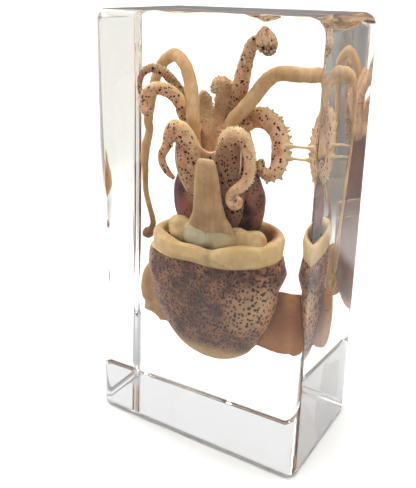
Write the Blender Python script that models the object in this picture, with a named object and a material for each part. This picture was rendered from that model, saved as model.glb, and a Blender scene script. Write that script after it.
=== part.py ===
# Small squid sealed in a clear cast block, modelled for Blender 4.5.
# Metres, +Z up. The block stands on z = 0, its wide front face looks along -Y,
# and the origin is the middle of its bottom.
# Routes and levels are written in millimetres and turned to metres by MM.
import math

import bmesh
import bpy
from mathutils import Matrix, Vector

MM = 0.001

# Clear block
BLOCK_WIDTH = 0.040
BLOCK_DEPTH = 0.025
BLOCK_HEIGHT = 0.073
EDGE_RADIUS = 0.0022
EDGE_SEGMENTS = 3

# The block is parted in two along the middle plane of the body sac
PARTING_Y = -0.0014
GAP = 0.0003

# Body sac: the lower half of a long ellipsoid with a thick lip around its mouth
SAC_X = 0.6
SAC_Y = -1.4
SAC_HALF_WIDTH = 12.6
SAC_HALF_DEPTH = 8.2
SAC_TOP = 32.2
SAC_LENGTH = 18.3
SAC_WALL = 1.3
SAC_FLOOR = 30.0
LIP_HEIGHT = 3.1
LIP_PROUD = 0.25
MOUTH_LEVEL = 37.2
MOUTH_RISE_RIGHT = 1.3
MOUTH_RISE_BACK = 1.7

# Head: a wide, shallow trunk that swells at the two eyes and ends in a flat crown
HEAD_Y = 0.2
HEAD_LEVELS = (
    # height, middle x, half width, half depth
    (31.2, 0.3, 6.6, 3.7),
    (34.0, 0.3, 7.1, 4.1),
    (37.0, 0.3, 7.3, 4.3),
    (39.0, 0.4, 7.9, 4.6),
    (41.4, 0.4, 8.4, 4.9),
    (43.9, 0.5, 8.5, 5.0),
    (46.3, 0.5, 8.0, 5.2),
    (48.5, 0.5, 7.4, 5.4),
    (50.1, 0.6, 7.1, 5.5),
    (50.6, 0.6, 6.4, 4.9),
)
MOUTH_DIP = 0.7

# Funnel: a flattened tube on a broad crescent base that fills the front of the mouth
FUNNEL_LEVELS = (
    # height, middle x, middle y, half width, half depth
    (38.9, 1.3, -6.8, 4.2, 1.3),
    (40.6, 1.2, -7.3, 3.1, 1.4),
    (43.0, 1.2, -7.5, 2.5, 1.4),
    (46.0, 1.2, -7.6, 2.2, 1.2),
    (49.0, 1.1, -7.7, 1.8, 0.9),
    (50.6, 1.0, -7.8, 1.3, 0.6),
)
FUNNEL_BASE_LEVELS = (32.6, 35.0, 37.4)
FUNNEL_BASE_LEFT = -52
FUNNEL_BASE_RIGHT = 74
FUNNEL_BASE_OUTER = (10.4, 5.9)
FUNNEL_BASE_END = (8.7, 5.3)
FUNNEL_BASE_INNER = (7.8, 4.8)
FUNNEL_SHOULDER_RISE = 1.3

RING_SIDES = 28
HEAD_SIDES = 24
LIMB_SIDES = 8
CORD_SIDES = 7


def clear_scene():
    for item in list(bpy.data.objects):
        bpy.data.objects.remove(item, do_unlink=True)


def make_material(name, colour, roughness, transmission=0.0):
    material = bpy.data.materials.new(name)
    material.use_nodes = True
    shader = material.node_tree.nodes["Principled BSDF"]
    shader.inputs["Base Color"].default_value = (*colour, 1.0)
    shader.inputs["Roughness"].default_value = roughness
    shader.inputs["Metallic"].default_value = 0.0
    shader.inputs["Transmission Weight"].default_value = transmission
    shader.inputs["IOR"].default_value = 1.49
    return material


def add_object(name, shape, material, smooth=True):
    bmesh.ops.recalc_face_normals(shape, faces=shape.faces)
    mesh = bpy.data.meshes.new(name)
    shape.to_mesh(mesh)
    shape.free()
    if smooth:
        mesh.shade_smooth()
        mesh.set_sharp_from_angle(angle=math.radians(50))
    mesh.materials.append(material)
    item = bpy.data.objects.new(name, mesh)
    bpy.context.collection.objects.link(item)
    return item


def point_mm(x, y, z):
    return Vector((x, y, z)) * MM


# Lofting: each ring is a closed list of points with the same count as the next
def loft(rings, start_tip=None, end_tip=None):
    shape = bmesh.new()
    loops = []
    for ring in rings:
        loops.append([shape.verts.new(point) for point in ring])
    for lower, upper in zip(loops, loops[1:]):
        count = len(lower)
        for i in range(count):
            j = (i + 1) % count
            shape.faces.new((lower[i], lower[j], upper[j], upper[i]))
    for loop, tip in ((loops[0], start_tip), (loops[-1], end_tip)):
        if tip is None:
            shape.faces.new(loop)
        else:
            apex = shape.verts.new(tip)
            for i in range(len(loop)):
                shape.faces.new((loop[i], loop[(i + 1) % len(loop)], apex))
    return shape


# Angle 0 looks to the front (-Y) and +90 degrees to the right (+X)
def on_ellipse(angle, middle_x, middle_y, half_width, half_depth):
    x = middle_x + half_width * math.sin(angle)
    y = middle_y - half_depth * math.cos(angle)
    return x, y


def angles(count):
    return [2 * math.pi * i / count for i in range(count)]


def ellipse_ring(z, middle_x, middle_y, half_width, half_depth, count=RING_SIDES):
    ring = []
    for angle in angles(count):
        x, y = on_ellipse(angle, middle_x, middle_y, half_width, half_depth)
        ring.append(point_mm(x, y, z))
    return ring


# Clear block
def block_half(name, keep_front, pocket, material):
    shape = bmesh.new()
    bmesh.ops.create_cube(shape, size=1.0)
    size = Vector((BLOCK_WIDTH, BLOCK_DEPTH, BLOCK_HEIGHT))
    bmesh.ops.scale(shape, vec=size, verts=shape.verts)
    bmesh.ops.translate(shape, vec=(0, 0, BLOCK_HEIGHT / 2), verts=shape.verts)
    bmesh.ops.bevel(
        shape,
        geom=shape.edges[:] + shape.verts[:],
        offset=EDGE_RADIUS,
        segments=EDGE_SEGMENTS,
        profile=0.5,
        affect="EDGES",
    )
    side = -1 if keep_front else 1
    cut_y = PARTING_Y + side * GAP / 2
    bmesh.ops.bisect_plane(
        shape,
        geom=shape.verts[:] + shape.edges[:] + shape.faces[:],
        plane_co=(0, cut_y, 0),
        plane_no=(0, -side, 0),
        clear_outer=True,
    )
    open_edges = [edge for edge in shape.edges if edge.is_boundary]
    bmesh.ops.edgeloop_fill(shape, edges=open_edges)
    half = add_object(name, shape, material, smooth=False)
    for cutter in pocket:
        cut = half.modifiers.new(cutter.name, "BOOLEAN")
        cut.operation = "DIFFERENCE"
        cut.solver = "EXACT"
        cut.object = cutter
    return half


# Body sac
def mouth_height(angle):
    return MOUTH_LEVEL + MOUTH_RISE_RIGHT * math.sin(angle) - MOUTH_RISE_BACK * math.cos(angle)


def sac_size(z):
    fall = min(max((SAC_TOP - z) / SAC_LENGTH, 0.0), 1.0)
    part = math.sqrt(1 - fall * fall)
    return SAC_HALF_WIDTH * part, SAC_HALF_DEPTH * part


def sac_ring(grow, below_mouth):
    ring = []
    for angle in angles(RING_SIDES):
        x, y = on_ellipse(angle, SAC_X, SAC_Y, SAC_HALF_WIDTH + grow, SAC_HALF_DEPTH + grow)
        ring.append(point_mm(x, y, mouth_height(angle) - below_mouth))
    return ring


def make_mantle(material):
    rings = []
    for degrees in (16, 30, 45, 60, 74):
        z = SAC_TOP - SAC_LENGTH * math.cos(math.radians(degrees))
        half_width, half_depth = sac_size(z)
        rings.append(ellipse_ring(z, SAC_X, SAC_Y, half_width, half_depth))
    rings.append(sac_ring(0.0, LIP_HEIGHT + 0.7))
    rings.append(sac_ring(0.0, LIP_HEIGHT))
    rings.append(sac_ring(LIP_PROUD, LIP_HEIGHT * 0.75))
    rings.append(sac_ring(LIP_PROUD, LIP_HEIGHT * 0.3))
    rings.append(sac_ring(-0.3, 0.0))
    rings.append(sac_ring(-SAC_WALL, LIP_HEIGHT * 0.3))
    rings.append(sac_ring(-SAC_WALL, LIP_HEIGHT))
    inner_width = SAC_HALF_WIDTH - SAC_WALL
    inner_depth = SAC_HALF_DEPTH - SAC_WALL
    rings.append(ellipse_ring(SAC_FLOOR, SAC_X, SAC_Y, inner_width, inner_depth))
    bottom = point_mm(SAC_X, SAC_Y, SAC_TOP - SAC_LENGTH)
    shape = loft(rings, start_tip=bottom)
    return add_object("mantle", shape, material)


# Side fins: stations from the top of the fin down, each with where it meets the sac
# side and where its free edge lies
LEFT_FIN_EDGE = (
    # height, x, y, thickness
    (27.2, -14.2, 2.4, 1.0),
    (25.6, -15.4, 2.9, 1.7),
    (23.2, -15.9, 3.1, 2.2),
    (20.8, -15.9, 3.2, 2.4),
    (18.6, -15.2, 3.2, 2.6),
    (16.9, -13.2, 3.0, 2.2),
    (15.8, -10.4, 2.4, 1.2),
)
RIGHT_FIN_EDGE = (
    (28.0, 15.8, 1.8, 1.2),
    (27.0, 17.0, 2.0, 1.7),
    (25.0, 17.3, 2.2, 2.0),
    (22.4, 17.2, 2.3, 2.0),
    (20.0, 16.7, 2.3, 2.0),
    (18.0, 15.2, 2.2, 1.8),
    (16.6, 12.8, 2.0, 1.2),
)
FIN_ROOT_ANGLE = 112
FIN_ROOT_CLEARANCE = 0.5
FIN_SIDES = 10


def make_fin(name, stations, material):
    side = 1 if stations[0][1] > 0 else -1
    rings = []
    for z, tip_x, tip_y, thickness in stations:
        half_width, half_depth = sac_size(z)
        angle = side * math.radians(FIN_ROOT_ANGLE)
        half_width += FIN_ROOT_CLEARANCE
        half_depth += FIN_ROOT_CLEARANCE
        root_x, root_y = on_ellipse(angle, SAC_X, SAC_Y, half_width, half_depth)
        root = point_mm(root_x, root_y, z)
        tip = point_mm(tip_x, tip_y, z)
        along = tip - root
        across = Vector((-along.y, along.x, 0)).normalized() * thickness / 2 * MM
        middle = (root + tip) / 2
        ring = []
        for turn in angles(FIN_SIDES):
            ring.append(middle + along / 2 * math.cos(turn) + across * math.sin(turn))
        rings.append(ring)
    first = sum(rings[0], Vector()) / FIN_SIDES + point_mm(0, 0, 0.5)
    last = sum(rings[-1], Vector()) / FIN_SIDES - point_mm(0, 0, 0.4)
    return add_object(name, loft(rings, first, last), material)


# Head
def make_head(material):
    rings = []
    for z, middle_x, half_width, half_depth in HEAD_LEVELS:
        rings.append(ellipse_ring(z, middle_x, HEAD_Y, half_width, half_depth, HEAD_SIDES))
    crown = HEAD_LEVELS[-1]
    mouth = point_mm(crown[1], HEAD_Y, crown[0] - MOUTH_DIP)
    shape = loft(rings, end_tip=mouth)
    return add_object("head", shape, material)


# Funnel and the broad base it grows from
def funnel_base_ring(z, shrink, count):
    half = count // 2
    first = math.radians(FUNNEL_BASE_LEFT)
    last = math.radians(FUNNEL_BASE_RIGHT)
    neck_x = HEAD_LEVELS[2][1]
    front = []
    back = []
    for i in range(half):
        share = i / (half - 1)
        angle = first + (last - first) * share
        rise = FUNNEL_SHOULDER_RISE * (angle / last) ** 2 * (1 - shrink)
        taper = abs(2 * share - 1) ** 4
        outer = Vector(FUNNEL_BASE_OUTER).lerp(Vector(FUNNEL_BASE_END), taper)
        x, y = on_ellipse(angle, SAC_X, SAC_Y, outer.x - shrink, outer.y - shrink)
        front.append(point_mm(x, y, z + rise))
        x, y = on_ellipse(angle, neck_x, HEAD_Y, *FUNNEL_BASE_INNER)
        back.append(point_mm(x, y, z + rise))
    return front + back[::-1]


def make_funnel(material):
    count = 20
    rings = []
    for z, shrink in zip(FUNNEL_BASE_LEVELS, (0.7, 0.0, 0.0)):
        rings.append(funnel_base_ring(z, shrink, count))
    half = count // 2
    for z, middle_x, middle_y, half_width, half_depth in FUNNEL_LEVELS:
        ring = []
        for i in range(count):
            turn = math.pi * (i % half + 0.5) / half
            side = -1 if i < half else 1
            x = middle_x + side * half_width * math.cos(turn)
            y = middle_y + side * half_depth * math.sin(turn)
            ring.append(point_mm(x, y, z))
        rings.append(ring)
    top = FUNNEL_LEVELS[-1]
    tip = point_mm(top[1], top[2], top[0] - 0.5)
    return add_object("funnel", loft(rings, end_tip=tip), material)


# Limbs: a route through a few points, its radius at shares of its length, and a side
# that carries the suckers, which faces away from the given centre of the limb's bend
ARM_VENTRAL_LEFT = {
    "route": (
        (-2.2, -4.2, 51.3), (-2.6, -5.2, 52.9), (-4.1, -5.8, 54.5), (-5.7, -6.0, 54.9),
        (-7.0, -5.8, 53.9), (-7.6, -5.2, 51.6), (-8.9, -4.8, 49.2), (-8.4, -4.6, 47.1),
        (-6.9, -5.4, 46.0),
    ),
    "radius": ((0.0, 1.3), (0.6, 1.2), (1.0, 0.4)),
    "bend": (-4.6, -5.4, 49.5),
    "suckers": 12,
    "sucker_height": 0.15,
}
ARM_VENTRAL_RIGHT = {
    "route": (
        (2.6, -4.2, 51.3), (2.6, -5.2, 53.4), (3.9, -5.6, 55.1), (5.6, -5.5, 55.7),
        (7.0, -5.2, 54.9), (8.0, -5.0, 52.9), (8.4, -5.2, 50.6), (8.2, -6.0, 48.1),
        (6.8, -7.0, 45.6), (6.2, -7.4, 44.0), (7.2, -7.5, 43.0), (7.9, -7.4, 44.0),
    ),
    "radius": ((0.0, 1.3), (0.5, 1.1), (1.0, 0.5)),
    "bend": (5.4, -5.4, 50.5),
    "suckers": 19,
    "sucker_height": 0.3,
}
ARM_SIDE_LEFT = {
    "route": (
        (-5.4, 1.2, 51.3), (-5.6, 1.2, 54.4), (-6.6, -0.4, 58.1), (-8.1, -2.2, 60.1),
        (-10.2, -3.4, 60.7), (-12.2, -3.8, 59.9), (-13.0, -4.0, 57.8), (-11.7, -4.6, 56.3),
    ),
    "radius": ((0.0, 1.2), (0.5, 1.0), (1.0, 0.65)),
    "bend": (-10.2, -3.0, 57.2),
    "suckers": 13,
    "sucker_height": 0.12,
}
ARM_SIDE_RIGHT = {
    "route": (
        (4.8, 1.9, 51.3), (3.1, 2.8, 54.9), (4.4, 3.1, 56.5), (6.5, 2.8, 57.3),
        (8.6, 2.2, 56.9), (10.3, 1.5, 55.6), (11.2, 0.9, 53.7), (11.5, 0.5, 51.6),
        (10.9, 0.2, 49.4), (9.6, 0.0, 48.4), (8.4, -0.2, 49.4),
    ),
    "radius": ((0.0, 1.1), (0.5, 1.15), (1.0, 0.7)),
    "bend": (8.0, 1.6, 52.6),
    "suckers": 19,
    "sucker_height": 0.4,
}
ARM_UPPER_LEFT = {
    "route": (
        (-5.0, 4.2, 51.3), (-7.5, 3.8, 57.0), (-9.0, 3.0, 60.0), (-10.5, 1.8, 62.3),
        (-12.3, 0.6, 63.4), (-13.9, -0.3, 63.2), (-14.6, -1.2, 61.7), (-14.0, -2.0, 58.9),
    ),
    "radius": ((0.0, 0.8), (0.5, 0.6), (1.0, 0.45)),
    "bend": (-12.2, 0.8, 58.8),
    "suckers": 16,
    "sucker_height": 0.18,
}
ARM_UPPER_RIGHT = {
    "route": (
        (2.9, 5.3, 51.3), (1.8, 5.3, 58.2), (3.4, 3.0, 62.7), (5.1, 0.4, 66.5),
        (6.5, -0.8, 68.4), (8.0, -1.3, 69.0), (9.2, -1.3, 68.2), (8.4, -1.2, 67.1),
    ),
    "radius": ((0.0, 1.05), (0.5, 0.9), (1.0, 0.85)),
    "bend": (8.6, 0.0, 63.5),
    "suckers": 19,
    "sucker_height": 0.2,
}
ARM_DORSAL_LEFT = {
    "route": ((-2.3, 4.7, 51.3), (-3.7, 4.5, 55.3), (-4.0, 3.8, 59.3)),
    "radius": ((0.0, 1.15), (0.5, 1.05), (1.0, 0.6)),
    "bend": (-1.0, 3.0, 56.0),
    "suckers": 6,
    "sucker_height": 0.25,
}
ARM_DORSAL_RIGHT = {
    "route": (
        (0.2, 4.9, 51.3), (-1.1, 4.8, 56.4), (-0.3, 3.4, 60.3), (-0.6, 1.7, 61.6),
        (-1.2, 0.5, 60.3),
    ),
    "radius": ((0.0, 1.05), (0.5, 0.9), (1.0, 0.65)),
    "bend": (-0.8, 1.4, 57.0),
    "suckers": 9,
    "sucker_height": 0.3,
}
TENTACLE_LEFT = {
    "route": (
        (-3.4, -1.2, 51.3), (-3.1, -1.4, 52.6), (-3.9, -1.4, 56.7), (-4.8, -0.4, 60.3),
        (-7.0, 1.8, 63.9), (-9.7, 3.1, 65.5), (-12.4, 4.4, 64.0), (-14.1, 5.0, 61.5),
        (-14.9, 5.0, 57.6), (-15.6, 5.0, 54.1), (-16.1, 5.0, 49.0), (-16.5, 5.0, 46.1),
        (-15.8, 4.4, 41.6), (-15.3, 4.0, 37.8), (-14.4, 3.6, 35.3), (-14.9, 3.2, 32.6),
    ),
    "radius": ((0.0, 1.05), (0.4, 1.0), (0.75, 0.7), (0.93, 0.6), (0.97, 1.0), (1.0, 0.8)),
    "bend": (-9.5, 1.5, 52.0),
}
TENTACLE_RIGHT = {
    "route": (
        (2.6, -0.8, 51.3), (1.5, -0.6, 53.1), (3.5, 0.3, 57.3), (5.9, 1.2, 61.1),
        (8.1, 1.4, 63.2), (11.2, 1.6, 64.2), (14.7, 2.8, 64.2), (16.8, 3.8, 63.3),
        (17.5, 4.8, 60.0), (17.6, 5.0, 55.0), (17.5, 3.8, 46.0), (17.4, 2.5, 38.0),
        (17.4, 2.0, 31.0),
    ),
    "radius": ((0.0, 1.15), (0.45, 1.0), (0.6, 0.65), (0.85, 0.55), (0.93, 0.95), (1.0, 0.6)),
    "bend": (9.5, 1.5, 52.0),
}


def smooth_route(points, pieces=10):
    ends = [points[0] * 2 - points[1], *points, points[-1] * 2 - points[-2]]
    route = []
    for a, b, c, d in zip(ends, ends[1:], ends[2:], ends[3:]):
        for i in range(pieces):
            t = i / pieces
            bend = (a * 2 - b * 5 + c * 4 - d) * t * t
            twist = (b * 3 - a - c * 3 + d) * t * t * t
            route.append((b * 2 + (c - a) * t + bend + twist) / 2)
    route.append(points[-1])
    return route


def even_steps(route, count):
    lengths = [0.0]
    for a, b in zip(route, route[1:]):
        lengths.append(lengths[-1] + (b - a).length)
    stations = []
    k = 0
    for i in range(count):
        wanted = lengths[-1] * i / (count - 1)
        while k < len(route) - 2 and lengths[k + 1] < wanted:
            k += 1
        share = (wanted - lengths[k]) / (lengths[k + 1] - lengths[k])
        stations.append(route[k].lerp(route[k + 1], share))
    return stations


def limb_radius(profile, share):
    for (low, first), (high, second) in zip(profile, profile[1:]):
        if share <= high:
            return first + (second - first) * (share - low) / (high - low)
    return profile[-1][1]


# The frame at one station of a limb: its direction, outward to the suckers, and across
def limb_frame(stations, i, centre):
    before = stations[max(i - 1, 0)]
    after = stations[min(i + 1, len(stations) - 1)]
    along = (after - before).normalized()
    outward = stations[i] - centre
    outward = (outward - along * outward.dot(along)).normalized()
    return along, outward, along.cross(outward)


def make_limb(name, limb, material, sides=LIMB_SIDES, step=1.5):
    route = smooth_route([point_mm(*p) for p in limb["route"]])
    length = sum((b - a).length for a, b in zip(route, route[1:]))
    suckers = limb.get("suckers", 0)
    count = suckers * 2 + 1 if suckers else round(length / MM / step) + 1
    stations = even_steps(route, count)
    centre = point_mm(*limb["bend"])
    rings = []
    for i, place in enumerate(stations):
        along, outward, across = limb_frame(stations, i, centre)
        radius = limb_radius(limb["radius"], i / (count - 1))
        swell = limb.get("sucker_height", 0) * (i % 2)
        ring = []
        for turn in angles(sides):
            reach = radius + swell * max(math.cos(turn), 0)
            ring.append(place + (outward * math.cos(turn) + across * math.sin(turn)) * reach * MM)
        rings.append(ring)
    tip = stations[-1] + along * limb["radius"][-1][1] * 0.7 * MM
    return add_object(name, loft(rings, end_tip=tip), material)


# Pocket: closed shapes a little larger than the specimen, cut out of both halves
CORD_POCKET_RADIUS = 2.0
CORD_POCKET_STATIONS = 22
CORD_POCKET_END = 1.4
SAC_POCKET_MARGIN = 1.05
SAC_POCKET_CORNER = 0.3


def make_cutter(name, shape):
    cutter = add_object(name, shape, bpy.data.materials["cutter"], smooth=False)
    cutter.hide_render = True
    cutter.display_type = "WIRE"
    return cutter


def box_cutter(name, low, high):
    shape = bmesh.new()
    bmesh.ops.create_cube(shape, size=1.0)
    low = Vector(low) * MM
    high = Vector(high) * MM
    bmesh.ops.scale(shape, vec=high - low, verts=shape.verts)
    bmesh.ops.translate(shape, vec=(low + high) / 2, verts=shape.verts)
    return make_cutter(name, shape)


def sac_cutter():
    rings = []
    for degrees in (18, 38, 60, 90):
        fall = math.cos(math.radians(degrees))
        part = math.sin(math.radians(degrees))
        z = SAC_TOP - (SAC_LENGTH + SAC_POCKET_MARGIN) * fall
        half_width = (SAC_HALF_WIDTH + SAC_POCKET_MARGIN) * part + SAC_POCKET_CORNER
        half_depth = (SAC_HALF_DEPTH + SAC_POCKET_MARGIN) * part + SAC_POCKET_CORNER
        rings.append(ellipse_ring(z, SAC_X, SAC_Y, half_width, half_depth))
    top = MOUTH_LEVEL + MOUTH_RISE_RIGHT + MOUTH_RISE_BACK
    rings.append(ellipse_ring(top, SAC_X, SAC_Y, half_width, half_depth))
    deepest = SAC_TOP - SAC_LENGTH - SAC_POCKET_MARGIN - SAC_POCKET_CORNER
    return make_cutter("pocket_sac", loft(rings, start_tip=point_mm(SAC_X, SAC_Y, deepest)))


def cord_cutter(name, limb):
    points = [point_mm(*p) for p in limb["route"]]
    stations = even_steps(smooth_route(points), CORD_POCKET_STATIONS)
    centre = point_mm(*limb["bend"])
    rings = []
    for i, place in enumerate(stations):
        along, outward, across = limb_frame(stations, i, centre)
        ring = []
        for turn in angles(6):
            turn += math.pi / 6
            reach = CORD_POCKET_RADIUS * MM
            ring.append(place + (outward * math.cos(turn) + across * math.sin(turn)) * reach)
        rings.append(ring)
    rings.append([point + along * CORD_POCKET_END * MM for point in rings[-1]])
    return make_cutter(name, loft(rings))


def make_pocket():
    return [
        sac_cutter(),
        box_cutter("pocket_fin_left", (-17.0, -0.4, 14.6), (-3.5, 5.6, 28.6)),
        box_cutter("pocket_fin_right", (4.5, -0.6, 15.2), (18.3, 4.6, 29.2)),
        box_cutter("pocket_crown", (-10.8, -9.8, 38.5), (13.6, 7.0, 59.8)),
        box_cutter("pocket_arms_left", (-15.9, -6.4, 54.9), (-9.0, 5.0, 64.8)),
        box_cutter("pocket_arms_top", (-9.5, -4.0, 59.0), (11.9, 6.6, 71.0)),
        cord_cutter("pocket_tentacle_left", TENTACLE_LEFT),
        cord_cutter("pocket_tentacle_right", TENTACLE_RIGHT),
    ]


def build():
    clear_scene()
    clear = make_material("clear_acrylic", (0.96, 0.97, 0.96), 0.02, 1.0)
    make_material("cutter", (0.5, 0.5, 0.5), 0.5)
    skin = make_material("spotted_skin", (0.55, 0.40, 0.33), 0.45)
    cream = make_material("cream_flesh", (0.76, 0.62, 0.43), 0.4)
    head_skin = make_material("head_skin", (0.40, 0.26, 0.24), 0.45)
    arm_skin = make_material("arm_skin", (0.66, 0.47, 0.34), 0.5)

    pocket = make_pocket()
    block_half("block_front", True, pocket, clear)
    block_half("block_back", False, pocket, clear)
    make_mantle(skin)
    make_fin("fin_left", LEFT_FIN_EDGE, cream)
    make_fin("fin_right", RIGHT_FIN_EDGE, cream)
    make_head(head_skin)
    make_funnel(cream)
    make_limb("arm_ventral_left", ARM_VENTRAL_LEFT, arm_skin)
    make_limb("arm_ventral_right", ARM_VENTRAL_RIGHT, arm_skin)
    make_limb("arm_side_left", ARM_SIDE_LEFT, arm_skin)
    make_limb("arm_side_right", ARM_SIDE_RIGHT, arm_skin)
    make_limb("arm_upper_left", ARM_UPPER_LEFT, arm_skin, CORD_SIDES)
    make_limb("arm_upper_right", ARM_UPPER_RIGHT, arm_skin)
    make_limb("arm_dorsal_left", ARM_DORSAL_LEFT, arm_skin)
    make_limb("arm_dorsal_right", ARM_DORSAL_RIGHT, arm_skin)
    make_limb("tentacle_left", TENTACLE_LEFT, cream, CORD_SIDES)
    make_limb("tentacle_right", TENTACLE_RIGHT, cream, CORD_SIDES)


build()
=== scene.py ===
# Small squid cast in a clear acrylic block.
# Lengths in the dictionaries are millimetres, and mm turns them to metres.
import math
import random

import bmesh
import bpy
from mathutils import Matrix, Vector, noise


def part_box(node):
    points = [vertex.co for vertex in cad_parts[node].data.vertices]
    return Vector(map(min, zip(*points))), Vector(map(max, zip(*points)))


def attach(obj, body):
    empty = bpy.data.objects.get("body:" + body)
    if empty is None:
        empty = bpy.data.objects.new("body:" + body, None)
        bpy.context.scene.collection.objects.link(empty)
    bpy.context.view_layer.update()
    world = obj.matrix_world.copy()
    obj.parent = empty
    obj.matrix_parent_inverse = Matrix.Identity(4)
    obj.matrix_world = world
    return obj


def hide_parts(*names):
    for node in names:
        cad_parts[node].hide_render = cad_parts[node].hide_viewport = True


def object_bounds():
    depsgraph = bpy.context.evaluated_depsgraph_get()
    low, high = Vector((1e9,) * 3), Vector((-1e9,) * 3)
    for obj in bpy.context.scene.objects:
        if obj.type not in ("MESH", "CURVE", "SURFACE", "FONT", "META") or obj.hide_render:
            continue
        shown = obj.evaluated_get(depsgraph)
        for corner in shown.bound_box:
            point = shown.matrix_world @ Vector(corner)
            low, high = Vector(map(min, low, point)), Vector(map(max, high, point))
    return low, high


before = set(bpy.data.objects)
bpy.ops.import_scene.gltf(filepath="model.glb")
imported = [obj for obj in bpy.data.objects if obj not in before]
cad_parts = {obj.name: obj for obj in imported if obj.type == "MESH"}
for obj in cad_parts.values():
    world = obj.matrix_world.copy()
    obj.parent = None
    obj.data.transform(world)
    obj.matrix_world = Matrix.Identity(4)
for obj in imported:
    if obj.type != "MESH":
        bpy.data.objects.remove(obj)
cadBox = [list(corner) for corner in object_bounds()]
mm = 0.001
frontWay = Vector((0, -1, 0))


def srgb(red, green, blue):
    linear = []
    for value in (red, green, blue):
        part = value / 255
        linear.append(part / 12.92 if part < 0.04045 else ((part + 0.055) / 1.055) ** 2.4)
    return (*linear, 1.0)


# Short calls for the nodes of one tree; base is the colour painted so far. A colour of three
# numbers is sRGB
class NodeSketch:
    def __init__(self, tree, coordinates):
        self.tree = tree
        self.place = self.add("TexCoord").outputs[coordinates]
        self.x, self.y, self.z = self.add("SeparateXYZ", Vector=self.place).outputs
        self.base = None

    def feed(self, socket, value):
        if isinstance(value, bpy.types.NodeSocket):
            self.tree.links.new(value, socket)
        else:
            socket.default_value = value

    def add(self, kind, settings=None, **inputs):
        item = self.tree.nodes.new("ShaderNode" + kind)
        for name, value in (settings or {}).items():
            setattr(item, name, value)
        for name, value in inputs.items():
            self.feed(item.inputs[name.replace("_", " ")], value)
        return item

    def math(self, operation, *values, kind="Math"):
        item = self.add(kind, {"operation": operation})
        for socket, value in zip(item.inputs, values):
            self.feed(socket, value)
        return item.outputs

    def sum(self, first, second):
        return self.math("ADD", first, second)[0]

    def less(self, first, second):
        return self.math("SUBTRACT", first, second)[0]

    def times(self, first, second):
        return self.math("MULTIPLY", first, second)[0]

    def vector(self, operation, *values):
        result = "Value" if operation in ("LENGTH", "DOT_PRODUCT") else "Vector"
        return self.math(operation, *values, kind="VectorMath")[result]

    def mix(self, factor, first, second):
        item = self.add("Mix", {"data_type": "RGBA"})
        for index, value in ((0, factor), (6, first), (7, second)):
            isPlain = isinstance(value, tuple) and len(value) == 3
            self.feed(item.inputs[index], srgb(*value) if isPlain else value)
        return item.outputs[2]

    def remap(self, value, low, high, toLow=0.0, toHigh=1.0, kind="SMOOTHSTEP"):
        return self.add("MapRange", {"interpolation_type": kind}, Value=value, From_Min=low,
                        From_Max=high, To_Min=toLow, To_Max=toHigh).outputs["Result"]

    # The same for a length, with its limits in millimetres
    def span(self, value, low, high, toLow=0.0, toHigh=1.0):
        return self.remap(value, low * mm, high * mm, toLow, toHigh)

    def cloud(self, scale, detail, roughness=0.5, place=None):
        place = self.place if place is None else place
        return self.add("TexNoise", Vector=place, Scale=scale, Detail=detail,
                        Roughness=roughness).outputs["Fac"]

    def attribute(self, name):
        return self.add("Attribute", {"attribute_name": name}).outputs["Fac"]

    # Pushes a place about by a noise of this scale
    def wobble(self, place, scale, detail, reach):
        push = self.add("TexNoise", Vector=place, Scale=scale, Detail=detail).outputs["Color"]
        return self.vector("MULTIPLY_ADD", push, (reach * mm,) * 3, place)

    # Soft dots of uneven size, one to a cell; share is how many cells hold one, and low and
    # high are the dots' radii in cells. A stretch below 1 draws the dots out along that axis,
    # and a flat place of two coordinates lays them on the skin
    def dots(self, cell, low, high, share, soft=0.1, stretch=(1, 1, 1), flat=None):
        place = self.wobble(flat or self.place, 3.2 / (cell * mm), 1.0, cell * 0.16)
        drawn = self.add("Mapping", Vector=place, Scale=stretch).outputs[0]
        cells = self.add("TexVoronoi", {"voronoi_dimensions": "2D" if flat else "3D"}, Vector=drawn,
                         Scale=1 / (cell * mm), Randomness=1.0).outputs
        chance = self.add("SeparateColor", Color=cells["Color"]).outputs
        size = self.remap(chance[1], 0.0, 1.0, low, high, kind="LINEAR")
        reach = self.less(size, cells["Distance"])
        here = self.math("GREATER_THAN", chance[0], self.less(1.0, share))[0]
        return self.times(self.remap(reach, -soft / 2, soft / 2), here)

    # A soft patch about a point of the body, for stains and shading; squeeze above 1 narrows it
    # along that axis, and rough frays its edge
    def patch(self, centre, radius, soft=0.5, squeeze=(1, 1, 1), rough=0.0):
        place = self.place
        if rough:
            place = self.wobble(place, 1.2 / (radius * mm), 4.0, rough)
            centre = Vector(centre) + Vector((rough, rough, rough)) / 2
        off = self.vector("SUBTRACT", place, Vector(centre) * mm)
        away = self.vector("LENGTH", self.vector("MULTIPLY", off, squeeze))
        return self.span(away, radius, radius * (1 - soft))

    def paint(self, mask, strength, colour):
        self.base = self.mix(self.times(mask, strength), self.base, colour)

    # Fine bumps, uneven gloss and soft depth. Flesh that lies in resin has next to no gloss of
    # its own
    def soften(self, grainSize, bump, weight, depth):
        grain = self.cloud(1 / (grainSize * mm), 4.0, 0.6)
        looks = {
            "Normal": self.add("Bump", Height=grain, Strength=bump, Distance=0.2 * mm).outputs[0],
            "Roughness": self.remap(grain, 0.3, 0.7, self.roughness - 0.08, self.roughness + 0.1),
            "Specular IOR Level": 0.12,
            "Subsurface Weight": weight,
            "Subsurface Radius": (1.0, 0.55, 0.35),
            "Subsurface Scale": depth * mm,
        }
        for name, value in looks.items():
            self.feed(self.shader.inputs[name], value)

    def done(self):
        self.feed(self.shader.inputs["Base Color"], self.base)
        return self.material


def newMaterial(name, roughness):
    material = bpy.data.materials.new(name)
    material.use_nodes = True
    skin = NodeSketch(material.node_tree, "Object")
    skin.material = material
    skin.shader = material.node_tree.nodes["Principled BSDF"]
    skin.roughness = roughness
    skin.shader.inputs["Roughness"].default_value = roughness
    skin.shader.inputs["IOR"].default_value = 1.45
    return skin


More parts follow.
